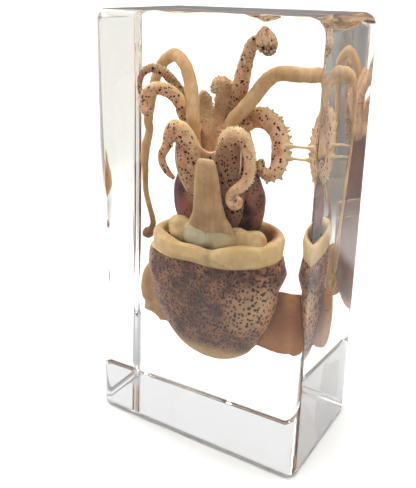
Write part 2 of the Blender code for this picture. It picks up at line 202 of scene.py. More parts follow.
# Skin of the body sac: small dense dots over a purple brown on the left and middle,
# larger black dots on yellowish skin on the right
skinLook = {
    "haze": (84, 44, 32),
    "hazeLight": (178, 124, 90),
    "purple": (82, 50, 46),
    "yellow": (202, 164, 122),
    # painted highlight along the sac's left side
    "leftEdgeHighlight": (216, 172, 142),
    # painted light from below, along the sac's lowest edge
    "lowRimLight": (222, 184, 128),
    "orange": (192, 120, 62),
    "dot": (40, 16, 18),
    # patches: centre, radius, softness
    "yellowAt": ((12.4, -7.6, 25.0), 8.4, 0.8),
    "lowLeftHighlightAt": ((-8.0, -6.0, 19.5), 4.2, 0.8),
    "orangeAt": ((15.0, -2.0, 22.5), 7.0, 0.7),
    "streaksAt": ((11.5, -6.5, 32.6), 3.0, 0.5),
    # where each starts and where it is full
    "leftFrom": (-9.3, -12.0),
    "lowRimLightFrom": (19.4, 16.4),
    "dotsFrom": (16.2, 18.4),
    # dots: cell, least and greatest radius in cells
    "smallDots": (0.66, 0.2, 0.36),
    "bigDots": (0.86, 0.12, 0.4),
    "streaks": (0.7, 0.2, 0.42),
    "rollRadius": 10.5,         # turns the angle round the sac to a length for the dots
    "stains": (
        # centre, radius, strength
        ((0.2, -9.8, 26.6), 2.7, 0.85), ((3.7, -9.8, 32.0), 2.8, 0.85), ((7.9, -9.3, 31.0), 2.0, 0.85),
        ((-2.0, -9.0, 29.0), 5.5, 0.4), ((1.0, -9.5, 23.0), 4.8, 0.55), ((6.3, -8.6, 20.4), 2.4, 0.7),
        ((-8.5, -7.0, 31.5), 3.2, 0.5), ((9.3, -8.6, 27.5), 1.2, 0.5), ((12.0, -5.5, 33.2), 1.8, 0.5),
    ),
}


def makeSkin():
    look = skinLook
    skin = newMaterial("sacSkin", 0.42)
    cloud = skin.cloud(300.0, 5.0, 0.66)
    skin.base = skin.mix(skin.remap(cloud, 0.36, 0.64), look["haze"], look["hazeLight"])
    yellow = skin.patch(*look["yellowAt"], (1, 1, 1.05), rough=5.0)
    left = skin.span(skin.x, *look["leftFrom"])
    skin.paint(yellow, 0.8, look["yellow"])
    # Painted highlight: paler along the left side of the sac and in a patch low on the left
    skin.paint(left, 0.75, look["leftEdgeHighlight"])
    skin.paint(skin.patch(*look["lowLeftHighlightAt"], rough=3.0), 0.6, look["leftEdgeHighlight"])
    skin.paint(skin.patch(*look["orangeAt"]), 0.8, look["orange"])
    # Painted light from below: a pale band along the sac's lowest edge, with an uneven top
    uneven = skin.sum(skin.z, skin.times(cloud, 2.0 * mm))
    skin.paint(skin.span(uneven, *look["lowRimLightFrom"]), 0.85, look["lowRimLight"])
    mottle = skin.remap(cloud, 0.3, 0.62, 0.55, 1.0)
    for centre, radius, strength in look["stains"]:
        stain = skin.patch(centre, radius, 0.85, rough=2.0)
        skin.paint(skin.times(stain, mottle), strength, look["purple"])
    fine = skin.remap(skin.cloud(2300.0, 3.0), 0.6, 0.35)
    skin.paint(skin.times(skin.less(1.0, yellow), fine), 0.3, look["purple"])
    most = skin.less(1.0, skin.times(yellow, 0.62))
    few = skin.less(1.0, skin.times(left, 0.5))
    share = skin.times(skin.times(most, few), 0.92)
    bigShare = skin.sum(0.35, skin.times(yellow, 0.5))
    outX = skin.less(skin.x, sacMiddle.x * mm)
    outY = skin.less(sacMiddle.y * mm, skin.y)
    turn = skin.math("ARCTAN2", outX, outY)[0]
    flat = skin.add("CombineXYZ", X=skin.times(turn, look["rollRadius"] * mm), Y=skin.z).outputs[0]
    spotted = skin.span(skin.z, *look["dotsFrom"])
    streaked = skin.patch(*look["streaksAt"], (1, 1, 1.3))
    smallDots = skin.dots(*look["smallDots"], share, flat=flat)
    bigDots = skin.dots(*look["bigDots"], bigShare, 0.06, flat=flat)
    streaks = skin.dots(*look["streaks"], 0.8, stretch=(0.45, 1.0, 1.0), flat=flat)
    for dots, where, strength in (
        (smallDots, spotted, 0.94), (bigDots, spotted, 0.96), (streaks, streaked, 0.9),
    ):
        skin.paint(skin.times(dots, where), strength, look["dot"])
    skin.soften(0.6, 0.45, 0.0, 0.6)
    return skin.done()


# Smooth flesh without dots: the lip, the fins, the funnel and the tentacles. Its three colours
# are the main one, the shade and the light
def makeFlesh(name, colours, grainSize=1.6, bump=0.25, streak=(1, 1, 1)):
    main, shade, light = colours
    skin = newMaterial(name, 0.4)
    drawn = skin.add("Mapping", Vector=skin.place, Scale=streak).outputs[0]
    skin.base = skin.mix(skin.remap(skin.cloud(260.0, 5.0, 0.6), 0.32, 0.68), shade, light)
    skin.base = skin.mix(0.45, skin.base, main)
    skin.paint(skin.remap(skin.cloud(900.0, 3.0, place=drawn), 0.58, 0.3), 0.4, shade)
    skin.soften(grainSize, bump, 0.2, 0.9)
    return skin


# The lip has painted shade under its edge, so it is lightest on top, and painted shade lines in its crease
# and slanting down under it; it is orange inside on the right and dotted outside at the back
lipLook = {
    "flesh": ((222, 190, 136), (200, 164, 112), (238, 212, 160)),
    # painted shade under the lip's edge
    "under": (170, 128, 80),
    "underShadeFrom": (34.6, 32.9),
    "slope": (-0.1, -0.16, 1),  # the lip's level by x and y
    # painted shade in the lip's crease and along a slanting line under it
    "crease": (140, 106, 70),
    "inside": (156, 92, 52),
    "insideFrom": (6.0, 11.0),
    "back": (116, 78, 66),
    "backFrom": (2.6, 4.6),
    "dot": (40, 20, 26),
    "dots": (0.7, 0.2, 0.38),
}


def makeLipFlesh():
    look = lipLook
    skin = makeFlesh("lipFlesh", look["flesh"], bump=0.12)
    level = skin.vector("DOT_PRODUCT", skin.place, look["slope"])
    # Painted shade under the lip's edge
    skin.paint(skin.span(level, *look["underShadeFrom"]), 0.7, look["under"])
    # Painted shade in the lip's crease and along a slanting line under it
    skin.paint(skin.attribute("shade"), 0.45, look["crease"])
    off = skin.vector("SUBTRACT", skin.place, (sacMiddle.x * mm, sacMiddle.y * mm, 0))
    off = skin.vector("MULTIPLY", off, (1 / (sacHalf.x * mm), 1 / (sacHalf.y * mm), 0))
    spread = skin.vector("LENGTH", off)
    inside = skin.times(skin.remap(spread, 0.92, 0.86), skin.span(skin.x, *look["insideFrom"]))
    outside = skin.less(1.0, skin.remap(spread, 0.98, 0.92))
    behind = skin.times(outside, skin.span(skin.y, *look["backFrom"]))
    skin.paint(inside, 0.95, look["inside"])
    skin.paint(behind, 0.92, look["back"])
    skin.paint(skin.times(skin.dots(*look["dots"], 0.8), behind), 0.9, look["dot"])
    return skin.done()


def makeFunnelFlesh():
    colours = ((194, 158, 118), (166, 130, 92), (216, 184, 142))
    skin = makeFlesh("funnelFlesh", colours, streak=(1.5, 1.5, 0.2))
    skin.paint(skin.span(skin.z, 49.4, 50.2), 0.6, (228, 196, 156))
    # Painted shade along a vertical crease
    skin.paint(skin.patch((3.9, -6.6, 45.0), 1.5, 0.8, (1, 1, 0.2)), 0.5, (128, 98, 68))
    return skin.done()


# The folds under the funnel are grey white in the middle and cream at the sides, with an
# amber end on the right
def makeFoldFlesh():
    colours = ((216, 184, 134), (186, 150, 104), (232, 204, 156))
    skin = makeFlesh("foldFlesh", colours, bump=0.2)
    paler = skin.remap(skin.patch((-1.5, -8.0, 36.8), 4.0), 0.0, 1.0)
    grey = skin.mix(paler, (196, 182, 148), (208, 198, 170))
    skin.base = skin.mix(skin.patch((1.2, -8.0, 37.0), 6.6, 0.8, (1, 0.3, 1.1), rough=0.8), skin.base, grey)
    skin.paint(skin.span(skin.z, 36.4, 35.0), 0.6, (112, 92, 66))
    skin.paint(skin.attribute("shade"), 0.3, (150, 132, 104))
    skin.paint(skin.patch((11.7, -5.4, 38.2), 1.6, 0.8, rough=0.6), 0.7, (176, 108, 54))
    return skin.done()


# Inside of the sac behind the lip: brown going to orange on the right, with painted shade deeper inside
def makeInnerSac():
    skin = newMaterial("innerSac", 0.5)
    skin.base = skin.mix(skin.span(skin.x, 0.0, 11.0), (98, 70, 48), (150, 88, 50))
    cloud = skin.remap(skin.cloud(400.0, 4.0), 0.35, 0.65, 0.0, 0.5)
    skin.base = skin.mix(cloud, skin.base, (124, 88, 60))
    # Painted shade, darker deeper down inside the sac
    skin.paint(skin.span(skin.z, 37.8, 34.0), 0.85, (38, 24, 18))
    skin.soften(0.8, 0.3, 0.1, 0.8)
    return skin.done()


# Head: purple brown with dark dots, rosy under the left eye, with painted shade near black in the hollow
# beside the right one
headLook = {
    "main": ((92, 56, 50), (136, 90, 76)),
    "crown": ((214, 166, 116), (238, 200, 152)),
    "crownFrom": (50.3, 51.4),
    "dot": (32, 18, 28),
    "patches": (
        # centre, radius, softness, strength, colour
        ((-7.2, -2.0, 43.5), 4.2, 0.8, 0.9, (84, 34, 44)),
        ((-5.6, -4.0, 40.4), 3.4, 0.8, 0.7, (160, 96, 88)),
        ((-3.2, -4.6, 43.4), 2.6, 0.8, 0.8, (172, 128, 108)),
        ((10.6, -0.5, 41.6), 3.2, 0.8, 0.75, (158, 78, 58)),
        # painted shade, near black in the hollow beside and below the right eye
        ((7.4, -4.2, 39.4), 2.4, 0.6, 0.97, (22, 10, 12)),
        ((6.6, -4.2, 42.4), 2.0, 0.6, 0.85, (40, 22, 22)),
        ((4.6, -4.6, 38.4), 1.8, 0.6, 0.6, (100, 74, 76)),
        ((-7.9, -1.5, 46.4), 0.9, 0.6, 0.8, (190, 168, 128)),
        ((0.4, -5.2, 50.6), 2.6, 0.5, 0.9, (206, 166, 122)),
        ((0.4, 0.6, 49.2), 4.6, 0.3, 1.0, (206, 164, 118)),
    ),
}


def makeHeadSkin():
    skin = newMaterial("headSkin", 0.38)
    cloud = skin.cloud(340.0, 5.0, 0.66)
    skin.base = skin.mix(skin.remap(cloud, 0.34, 0.66), *headLook["main"])
    for centre, radius, soft, strength, colour in headLook["patches"]:
        skin.paint(skin.patch(centre, radius, soft, rough=1.2), strength, colour)
    share = skin.span(skin.x, -2.0, 6.0, 0.25, 0.75)
    skin.paint(skin.dots(0.66, 0.22, 0.4, share), 0.85, headLook["dot"])
    crown = skin.mix(skin.remap(cloud, 0.3, 0.7), *headLook["crown"])
    skin.base = skin.mix(skin.span(skin.z, *headLook["crownFrom"]), skin.base, crown)
    skin.soften(0.8, 0.3, 0.12, 0.8)
    return skin.done()


# Arms: tan with black dots, paler on the side of the suckers. Three attributes that each station
# of a limb states steer it: shade turns it purple brown, spots says how many dots there are,
# and slit paints shade into the grooves between the rings of the rope-like arms
armLook = {
    "main": ((206, 150, 112), (242, 198, 158)),
    "suckerSide": (240, 206, 158),
    "shade": (88, 52, 44),
    "slit": (88, 52, 40),
    "dot": (28, 16, 24),
    "speck": (104, 64, 48),
    "dots": (0.56, 0.2, 0.4),
    "dashes": (0.66, 0.2, 0.36),
    "specks": (0.42, 0.2, 0.4),
}


def makeArmSkin():
    look = armLook
    skin = newMaterial("armSkin", 0.42)
    side, shade, spots, slit = (skin.attribute(name) for name in attributeNames)
    cloud = skin.cloud(480.0, 5.0, 0.62)
    skin.base = skin.mix(skin.remap(cloud, 0.34, 0.66), *look["main"])
    skin.paint(skin.remap(side, 0.2, 0.95), 0.75, look["suckerSide"])
    dark = skin.times(shade, skin.remap(cloud, 0.25, 0.7, 0.75, 1.0))
    skin.base = skin.mix(dark, skin.base, look["shade"])
    # Painted shade in the grooves between the rope's rings; on the bulb the same colour makes dark streaks
    skin.paint(slit, 0.8, look["slit"])
    bare = skin.remap(side, 0.97, 0.7)
    dots = skin.dots(*look["dots"], spots)
    dashes = skin.dots(*look["dashes"], skin.times(spots, 0.5), stretch=(0.6, 1.0, 0.75))
    specks = skin.dots(*look["specks"], 0.35, 0.12)
    for mask, strength, colour in ((dots, 0.95, "dot"), (dashes, 0.95, "dot"), (specks, 0.4, "speck")):
        skin.paint(skin.times(mask, bare), strength, look[colour])
    skin.soften(0.5, 0.9, 0.15, 0.7)
    return skin.done()


def makeSuckerFlesh():
    colours = ((242, 212, 168), (214, 174, 130), (252, 232, 196))
    return makeFlesh("suckerFlesh", colours, grainSize=0.4, bump=0.35).done()


# The tentacles are cream with long fine streaks, and brown towards their clubs
def makeTentacleFlesh():
    colours = ((218, 178, 130), (186, 142, 96), (238, 206, 160))
    skin = makeFlesh("tentacleFlesh", colours, streak=(1.6, 1.6, 0.35))
    shade = skin.attribute("shade")
    skin.base = skin.mix(shade, skin.base, (112, 70, 52))
    skin.paint(skin.dots(0.7, 0.15, 0.3, skin.times(shade, 0.8)), 0.7, (48, 26, 24))
    return skin.done()


def makeAcrylic():
    material = bpy.data.materials.new("clearAcrylic")
    material.use_nodes = True
    shader = material.node_tree.nodes["Principled BSDF"]
    looks = {"Base Color": (1.0, 1.0, 1.0, 1.0), "Transmission Weight": 1.0, "Roughness": 0.0, "IOR": 1.49}
    for name, value in looks.items():
        shader.inputs[name].default_value = value
    return material


# A matrix that sets a unit ring or grip: its middle, its two half widths and its way on
def ringPlace(middle, firstWay, secondWay, alongWay):
    place = Matrix.Identity(4)
    for column, way in enumerate((firstWay, secondWay, alongWay)):
        place.col[column] = (*way, 0.0)
    place.col[3] = (*middle, 1.0)
    return place


# The same for a level ring, in millimetres; rise lifts its back
def levelRing(x, y, z, halfWidth, halfDepth, rise=0.0):
    rightWay, backWay = Vector((halfWidth, 0, 0)) * mm, Vector((0, halfDepth, rise)) * mm
    return ringPlace(Vector((x, y, z)) * mm, rightWay, backWay, Vector((0, 0, mm)))


# Each vertex carries these for the materials
attributeNames = ("side", "shade", "spots", "slit")


def newMesh():
    bm = bmesh.new()
    for name in attributeNames:
        bm.verts.layers.float.new(name)
    return bm


# Starts with a circle and extrudes its edge from place to place; both ends are closed
def growRings(bm, places, sides):
    sideLayer = bm.verts.layers.float["side"]
    circle = bmesh.ops.create_circle(bm, segments=sides, radius=1.0)["verts"]
    for vert in circle:
        vert[sideLayer] = vert.co.y
    bmesh.ops.transform(bm, matrix=places[0], verts=circle)
    edges = list(dict.fromkeys(edge for vert in circle for edge in vert.link_edges))
    bmesh.ops.edgeloop_fill(bm, edges=edges)
    rings = [circle]
    for before, now in zip(places, places[1:]):
        grown = bmesh.ops.extrude_edge_only(bm, edges=edges)["geom"]
        ring = [item for item in grown if isinstance(item, bmesh.types.BMVert)]
        inRing = set(ring)
        grownEdges = [item for item in grown if isinstance(item, bmesh.types.BMEdge)]
        edges = [edge for edge in grownEdges if set(edge.verts) <= inRing]
        bmesh.ops.transform(bm, matrix=now @ before.inverted(), verts=ring)
        rings.append(ring)
    bmesh.ops.edgeloop_fill(bm, edges=edges)
    return rings


def finishPiece(name, bm, materials, replaced, sharp=60):
    bmesh.ops.recalc_face_normals(bm, faces=bm.faces)
    mesh = bpy.data.meshes.new(name)
    bm.to_mesh(mesh)
    bm.free()
    mesh.shade_smooth()
    mesh.set_sharp_from_angle(angle=math.radians(sharp))
    for material in materials:
        mesh.materials.append(material)
    piece = bpy.data.objects.new(name, mesh)
    bpy.context.scene.collection.objects.link(piece)
    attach(piece, "root")
    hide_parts(*replaced)
    return piece


def setFaces(faces, index):
    for face in faces:
        face.material_index = index


def facesAt(verts):
    return {face for vert in verts for face in vert.link_faces}


def ringFaces(rings, first, last):
    wanted = set()
    for low, high in zip(rings[first:last], rings[first + 1:last + 1]):
        both = set(low) | set(high)
        wanted |= {face for face in facesAt(low) if set(face.verts) <= both}
    return wanted


def smoothRoute(points, pieces=12):
    points = [Vector(point) for point in points]
    ends = [points[0] * 2 - points[1], *points, points[-1] * 2 - points[-2]]
    route = []
    for a, b, c, d in zip(ends, ends[1:], ends[2:], ends[3:]):
        for i in range(pieces):
            t = i / pieces
            bend = (a * 2 - b * 5 + c * 4 - d) * t * t
            twist = (b * 3 - a - c * 3 + d) * t * t * t
            route.append((b * 2 + (c - a) * t + bend + twist) / 2)
    route.append(points[-1])
    return route


def evenSteps(route, step):
    lengths = [0.0]
    for a, b in zip(route, route[1:]):
        lengths.append(lengths[-1] + (Vector(b[:3]) - Vector(a[:3])).length)
    count = max(int(lengths[-1] / step), 2)
    stations = []
    k = 0
    for i in range(count + 1):
        wanted = lengths[-1] * i / count
        while k < len(route) - 2 and lengths[k + 1] < wanted:
            k += 1
        share = (wanted - lengths[k]) / max(lengths[k + 1] - lengths[k], 1e-9)
        stations.append(route[k].lerp(route[k + 1], share))
    return stations


def hump(value, centre, width):
    return math.exp(-((value - centre) / width) ** 2)


def clamp(value):
    return max(0.0, min(1.0, value))


# Uneven lumps at a place in millimetres, from pairs of height and fineness
def lumps(co, sizes):
    return sum(height * noise.noise(co * fineness) for height, fineness in sizes)


# A rise round one place across and, unless that is left out, round one level
def swell(across, z, amount, at, spread, level=0.0, height=math.inf):
    return amount * hump(across, at, spread) * hump(z, level, height)


# Even stations along a route, each with its shade as the sixth value
def limbStations(route, step):
    return evenSteps(smoothRoute([(*station, 0.0)[:6] for station in route]), step)


# Sets a ring frame across each station of a route of x, y, z, half width, half depth
def limbPlaces(stations):
    places = []
    for i, station in enumerate(stations):
        before = Vector(stations[max(i - 1, 0)][:3])
        after = Vector(stations[min(i + 1, len(stations) - 1)][:3])
        along = (after - before).normalized()
        outward = (frontWay - along * along.dot(frontWay)).normalized()
        across = along.cross(outward)
        width, depth = station[3] * mm, station[4] * mm
        places.append(ringPlace(Vector(station[:3]) * mm, outward * depth, across * width, along * mm))
    return places


# A thin strand or ridge along a few points, given as x, y, z and radius
def addStrand(bm, points, index, side, sides=8, step=0.25):
    route = smoothRoute([(*point, point[3]) for point in points], 8)
    rings = growRings(bm, limbPlaces(evenSteps(route, step)), sides)
    sideLayer = bm.verts.layers.float["side"]
    for vert in (vert for ring in rings for vert in ring):
        vert[sideLayer] = side
    setFaces(ringFaces(rings, 0, len(rings) - 1), index)


# Body sac with its thick lip, from the floor inside up the wall, over the lip and down. Turns
# are degrees from the front to the right, and a swell is the amount, turn and spread, and the
# level and its spread
sacShape = {
    "top": 32.2,            # level where the sac starts to draw in
    "riseRight": 1.3,       # how the mouth tilts
    "riseBack": 1.7,
    "lipHeight": 3.2,
    "lipWall": 2.0,
    "lipProud": 0.3,
    "floor": 31.0,
    "floorGrow": (-4.5, -3.0, -2.2),
    "wallShares": (0.2, 0.4, 0.6, 0.8),
    "lipTurns": (180, 155, 130, 110, 90, 70, 50, 30, 12, 0),
    "lipDrops": (1.3, 1.7, 2.1, 2.5, 2.8),
    "underLip": ((0.18, 3.05), (0.0, 3.18), (-0.16, 3.2), (-0.2, 3.3)),     # growth and drop
    "skinRings": 9,
    "bodyAngles": (*range(88, 4, -2), 3, 1),
    "roundness": 0.86,
    "sides": 176,
    "lumps": ((0.22, 0.22), (0.09, 0.7)),
    "lipLobes": (0.18, 3, 40),              # amount, how many to a turn, and start
    "lipRises": (0.25, 2.6, -30),
    "crease": (7, 3.0, 0.5),                # turn, spread and depth of the crease in the lip
    # The next two set painted shade lines in the lip: one in its crease and one slanting down under it
    "creaseShade": 2.2,
    "foldShade": (12, 8.6, 1.9, 2.6),            # its turn, slant, drop and spread under the lip
    "foldShadeFrom": 1.7,
    "lipPinches": ((-1.0, -88, 40), (-0.4, 92, 30)),
    "skinSwells": (
        (0.45, -80, 35, 29.5, 3.0), (-0.55, -75, 35, 33.9, 1.4), (0.72, 106, 26, 31.9, 1.7),
        (-0.3, 106, 20, 28.8, 0.9),
    ),
    "wrinkles": (0.16, 70, 22, 30.6, 1.8),
    "lipDip": (-0.35, -4, 16),
    "leftLift": (0.95, -52, 28),
    "frontLift": (0.95, -8, 22),
    "waves": ((0.45, 36, 14), (0.4, -9, 9), (-0.35, 9, 7)),
}
sacLow, sacHigh = (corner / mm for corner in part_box("mantle"))
sacMiddle = (sacLow + sacHigh) / 2
sacHalf = (sacHigh - sacLow) / 2


def sacPlace(grow, z, tilt):
    halfWidth = sacHalf.x - 0.25 + grow
    halfDepth = sacHalf.y - 0.25 + grow
    rightWay = Vector((halfWidth, 0, sacShape["riseRight"] * tilt * halfWidth / sacHalf.x)) * mm
    backWay = Vector((0, halfDepth, sacShape["riseBack"] * tilt * halfDepth / sacHalf.y)) * mm
    return ringPlace(Vector((sacMiddle.x, sacMiddle.y, z)) * mm, rightWay, backWay, Vector((0, 0, mm)))


def lobes(turn, amount, count, start):
    return amount * math.sin(math.radians(turn * count + start))


# Gives the even rings their lumps and the lip its painted shade lines: push moves a point outwards and lift
# moves it up
def shapeSac(bm, mouth):
    shape = sacShape
    shadeLayer = bm.verts.layers.float["shade"]
    creaseTurn, creaseSpread, creaseDepth = shape["crease"]
    foldTurn, foldSlant, foldDrop, foldSpread = shape["foldShade"]
    for vert in bm.verts:
        co = vert.co / mm
        away = Vector(((co.x - sacMiddle.x) / sacHalf.x, (co.y - sacMiddle.y) / sacHalf.y, 0))
        if away.length < 0.05:
            continue
        turn = math.degrees(math.atan2(away.x, -away.y))
        under = mouth + shape["riseRight"] * away.x + shape["riseBack"] * away.y - co.z
        lip = max(0.0, 1 - abs(under - 1.5) / 2.4)
        inLip = clamp((3.5 - under) / 0.5)
        band = clamp(1 - (under - 3.3) / 3.0)
        push = lumps(co, shape["lumps"]) + lip * lobes(turn, *shape["lipLobes"])
        push -= lip * creaseDepth * hump(turn, creaseTurn, creaseSpread)
        push += inLip * sum(swell(turn, co.z, *pinch) for pinch in shape["lipPinches"])
        push += (1 - inLip) * sum(swell(turn, co.z, *row) for row in shape["skinSwells"])
        push += math.sin(co.z * 4.2 + co.x * 0.8) * swell(turn, co.z, *shape["wrinkles"])
        lift = lip * (lobes(turn, *shape["lipRises"]) + swell(turn, co.z, *shape["lipDip"]))
        lift += band * swell(turn, co.z, *shape["leftLift"])
        lift += band * swell(turn, co.z, *shape["frontLift"]) * clamp((under - 1.2) / 1.6)
        waves = sum(swell(turn, co.z, *wave) for wave in shape["waves"])
        lift += max(0.0, 1 - under / 1.6) * band * waves
        # Painted shade lines for the lip's material: in its crease, and slanting down under the lip
        shade = hump(turn, creaseTurn, shape["creaseShade"])
        if under > shape["foldShadeFrom"]:
            shade += 0.7 * hump(turn, foldTurn + foldSlant * (under - foldDrop), foldSpread)
        vert[shadeLayer] = inLip * min(1.0, shade)
        vert.co += (away.normalized() * push + Vector((0, 0, lift))) * mm


def makeSac(materials):
    shape = sacShape
    mouth = sacHigh.z - math.hypot(shape["riseRight"], shape["riseBack"])
    wall, proud, floor = shape["lipWall"], shape["lipProud"], shape["floor"]
    places = [sacPlace(-sacHalf.y * 1.1, floor, 0.0)]
    for grow in shape["floorGrow"]:
        places.append(sacPlace(grow, floor + 0.1 * (4.5 + grow), 0.3))
    for share in shape["wallShares"]:
        places.append(sacPlace(-wall, floor + (mouth - wall / 2 - floor) * share, 0.4 + 0.6 * share))
    innerEnd = len(places)
    lipRadius = wall / 2
    for degrees in shape["lipTurns"]:
        turn = math.radians(degrees)
        rise = math.sin(turn) * lipRadius * (1.0 if degrees > 90 else 0.95)
        grow = proud - lipRadius + lipRadius * math.cos(turn)
        places.append(sacPlace(grow, mouth - lipRadius + rise, 1.0))
    for drop in shape["lipDrops"]:
        places.append(sacPlace(proud + 0.12 * math.sin(drop * 1.2), mouth - drop, 1.0))
    for grow, drop in shape["underLip"]:
        places.append(sacPlace(grow, mouth - drop, 1.0))
    lipEnd = len(places)
    bottom = sacLow.z - 0.2
    skinTop = mouth - shape["lipHeight"] - 0.3
    for k in range(shape["skinRings"]):
        share = 0.11 * k
        level = skinTop + (shape["top"] - skinTop) * share
        places.append(sacPlace(-0.12 + 0.12 * min(share * 2, 1), level - 0.5 * share, 1.0 - share * 0.3))
    fall = shape["top"] - bottom
    for degrees in shape["bodyAngles"]:
        turn = math.radians(degrees)
        tilt = max(0.0, 0.62 - 0.012 * (82 - degrees))
        place = sacPlace(0.0, shape["top"] - fall * math.cos(turn), tilt)
        scale = math.sin(turn) ** shape["roundness"]
        place.col[0] = (*(place.col[0].xyz * scale), 0)
        place.col[1] = (*(place.col[1].xyz * scale), 0)
        places.append(place)
    bm = newMesh()
    rings = growRings(bm, places, shape["sides"])
    setFaces(bm.faces, 0)
    setFaces(ringFaces(rings, innerEnd - 1, lipEnd), 1)
    setFaces(ringFaces(rings, 0, innerEnd - 1), 2)
    shapeSac(bm, mouth)
    finishPiece("body_sac", bm, materials, ["mantle"], 75)
    print("sac made")


# Side fins: flattened rings from the top of each fin down, from the sac's side to the free edge.
# They have painted shade by the sac and in a short crease, and are lighter at their low edge
finShapes = {
    "fin_left": {
        "levels": (
            # height, free edge x, free edge y, thickness
            (27.8, -13.6, 2.2, 0.7), (26.9, -14.6, 2.6, 1.5), (25.3, -15.6, 2.9, 1.9),
            (22.9, -16.2, 3.0, 2.2), (21.0, -16.1, 3.1, 2.4), (19.6, -15.7, 3.1, 2.6),
            (18.4, -15.2, 3.0, 2.6), (17.5, -14.2, 2.8, 2.3), (16.9, -12.9, 2.6, 1.6),
            (16.6, -11.4, 2.4, 0.8),
        ),
        "root": (-0.93, 3.0),   # as a share of the sac's half width, and depth
        "rootLow": 18.2,        # the fin leaves the sac no lower than this
        "lumps": 0.75,
        "flesh": ("paleFin", ((182, 138, 88), (152, 108, 62), (208, 170, 118))),
        "shadeAndPalePatches": (
            # centre, radius, squeeze, strength, colour
            # painted shade, then a paler patch at the low edge
            ((-14.0, 2.0, 23.0), 1.6, (1, 0.4, 0.3), 0.5, (142, 98, 66)),
            ((-14.6, 2.8, 18.2), 2.2, (1, 0.5, 1), 0.6, (214, 190, 150)),
        ),
    },
    "fin_right": {
        "levels": (
            (28.3, 15.4, 1.9, 0.7), (27.6, 16.6, 2.0, 1.3), (26.2, 17.1, 2.1, 1.8), (24.0, 17.3, 2.3, 2.0),
            (21.8, 17.1, 2.3, 2.1), (19.8, 16.7, 2.3, 2.0), (18.3, 15.8, 2.2, 1.8), (17.3, 14.4, 2.1, 1.4),
            (16.9, 12.6, 2.0, 0.8),
        ),
        "root": (0.93, 3.0),
        "rootLow": 18.6,
        "lumps": 0.14,
        "flesh": ("warmFin", ((186, 124, 74), (158, 98, 54), (204, 146, 94))),
        "shadeAndPalePatches": (
            # painted shade by the sac, then a line of painted shade in a short crease
            ((12.2, 1.0, 24.0), 4.0, (1, 0.5, 0.6), 0.7, (140, 84, 50)),
            ((15.4, 0.8, 24.6), 1.0, (0.7, 0.3, 4.0), 0.8, (92, 52, 36)),
        ),
    },
}


def makeFin(name):
    shape = finShapes[name]
    skin = makeFlesh(*shape["flesh"])
    for centre, radius, squeeze, strength, colour in shape["shadeAndPalePatches"]:
        skin.paint(skin.patch(centre, radius, 0.8, squeeze), strength, colour)
    rootShare, rootDepth = shape["root"]
    places = []
    for z, tipX, tipY, thick in smoothRoute(shape["levels"], 7):
        level = max(z, shape["rootLow"])
        fall = clamp((sacShape["top"] - level) / (sacShape["top"] - sacLow.z))
        part = math.sqrt(1 - fall * fall)
        rootX = sacMiddle.x + sacHalf.x * rootShare * part * 0.98
        root = Vector((rootX, sacMiddle.y + rootDepth * part, (z + level) / 2))
        tip = Vector((tipX, tipY, z))
        reach = (tip - root) / 2
        across = Vector((-reach.y, reach.x, 0)).normalized() * thick / 2
        places.append(ringPlace((root + tip) / 2 * mm, reach * mm, across * mm, Vector((0, 0, mm))))
    bm = newMesh()
    growRings(bm, places, 56)
    for vert in bm.verts:
        co = vert.co / mm
        lump = lumps(co, ((1.0, 0.6), (0.6, 1.4)))
        low = 0.25 + 1.2 * hump(co.z, 18.2, 1.8)
        vert.co += Vector((0.35 * lump, 0.9 * lump, 0.5 * lump)) * shape["lumps"] * low * mm
    bmesh.ops.smooth_vert(bm, verts=bm.verts, factor=0.4, use_axis_x=True, use_axis_y=True, use_axis_z=True)
    finishPiece(name + "_flesh", bm, [skin.done()], [name])


# Head: trunk with an eye on each side, and the web of the arm crown as a low cup on it
headShape = {
    "levels": (
        # height, middle x, half width, half depth
        (31.4, 0.3, 5.6, 3.0), (32.2, 0.3, 6.5, 3.7), (34.0, 0.3, 6.9, 4.0), (36.0, 0.3, 7.0, 4.2),
        (37.6, 0.4, 7.2, 4.4), (39.0, 0.5, 7.5, 4.6), (41.4, 0.5, 7.8, 4.8), (43.9, 0.5, 7.9, 4.9),
        (46.3, 0.5, 7.5, 4.9), (48.5, 0.5, 6.9, 4.9), (50.1, 0.5, 6.6, 4.9), (50.8, 0.5, 6.4, 4.8),
    ),
    "middleY": 0.2,
    "webRise": 4.9,         # at the back; the web is lowest in front
    "lumps": ((0.16, 0.45), (0.07, 1.4)),
    "eyeReach": 1.35,       # how far the swelling goes, as a share of the radius
    "eyes": (
        # centre, radius, how far it swells
        ((-7.2, -1.4, 42.0), 3.5, 0.65), ((8.0, -1.2, 42.6), 4.0, 1.05),
    ),
    "web": (
        # share of the rise, inset, level
        (0.35, -0.25, 0), (0.75, -0.7, 0), (1.0, -1.0, 0), (1.04, -1.5, 0), (0.95, -1.95, 0),
        (0.6, -2.0, 0), (0.25, -2.1, 0), (0.0, -2.6, -0.6), (0.0, -3.4, -1.2), (0.0, -4.4, -1.5),
    ),
    "skinTop": 50.3,        # the skin's lumps end here, and the web's waves start above it
    "webFrom": 52,
    "sides": 120,
}


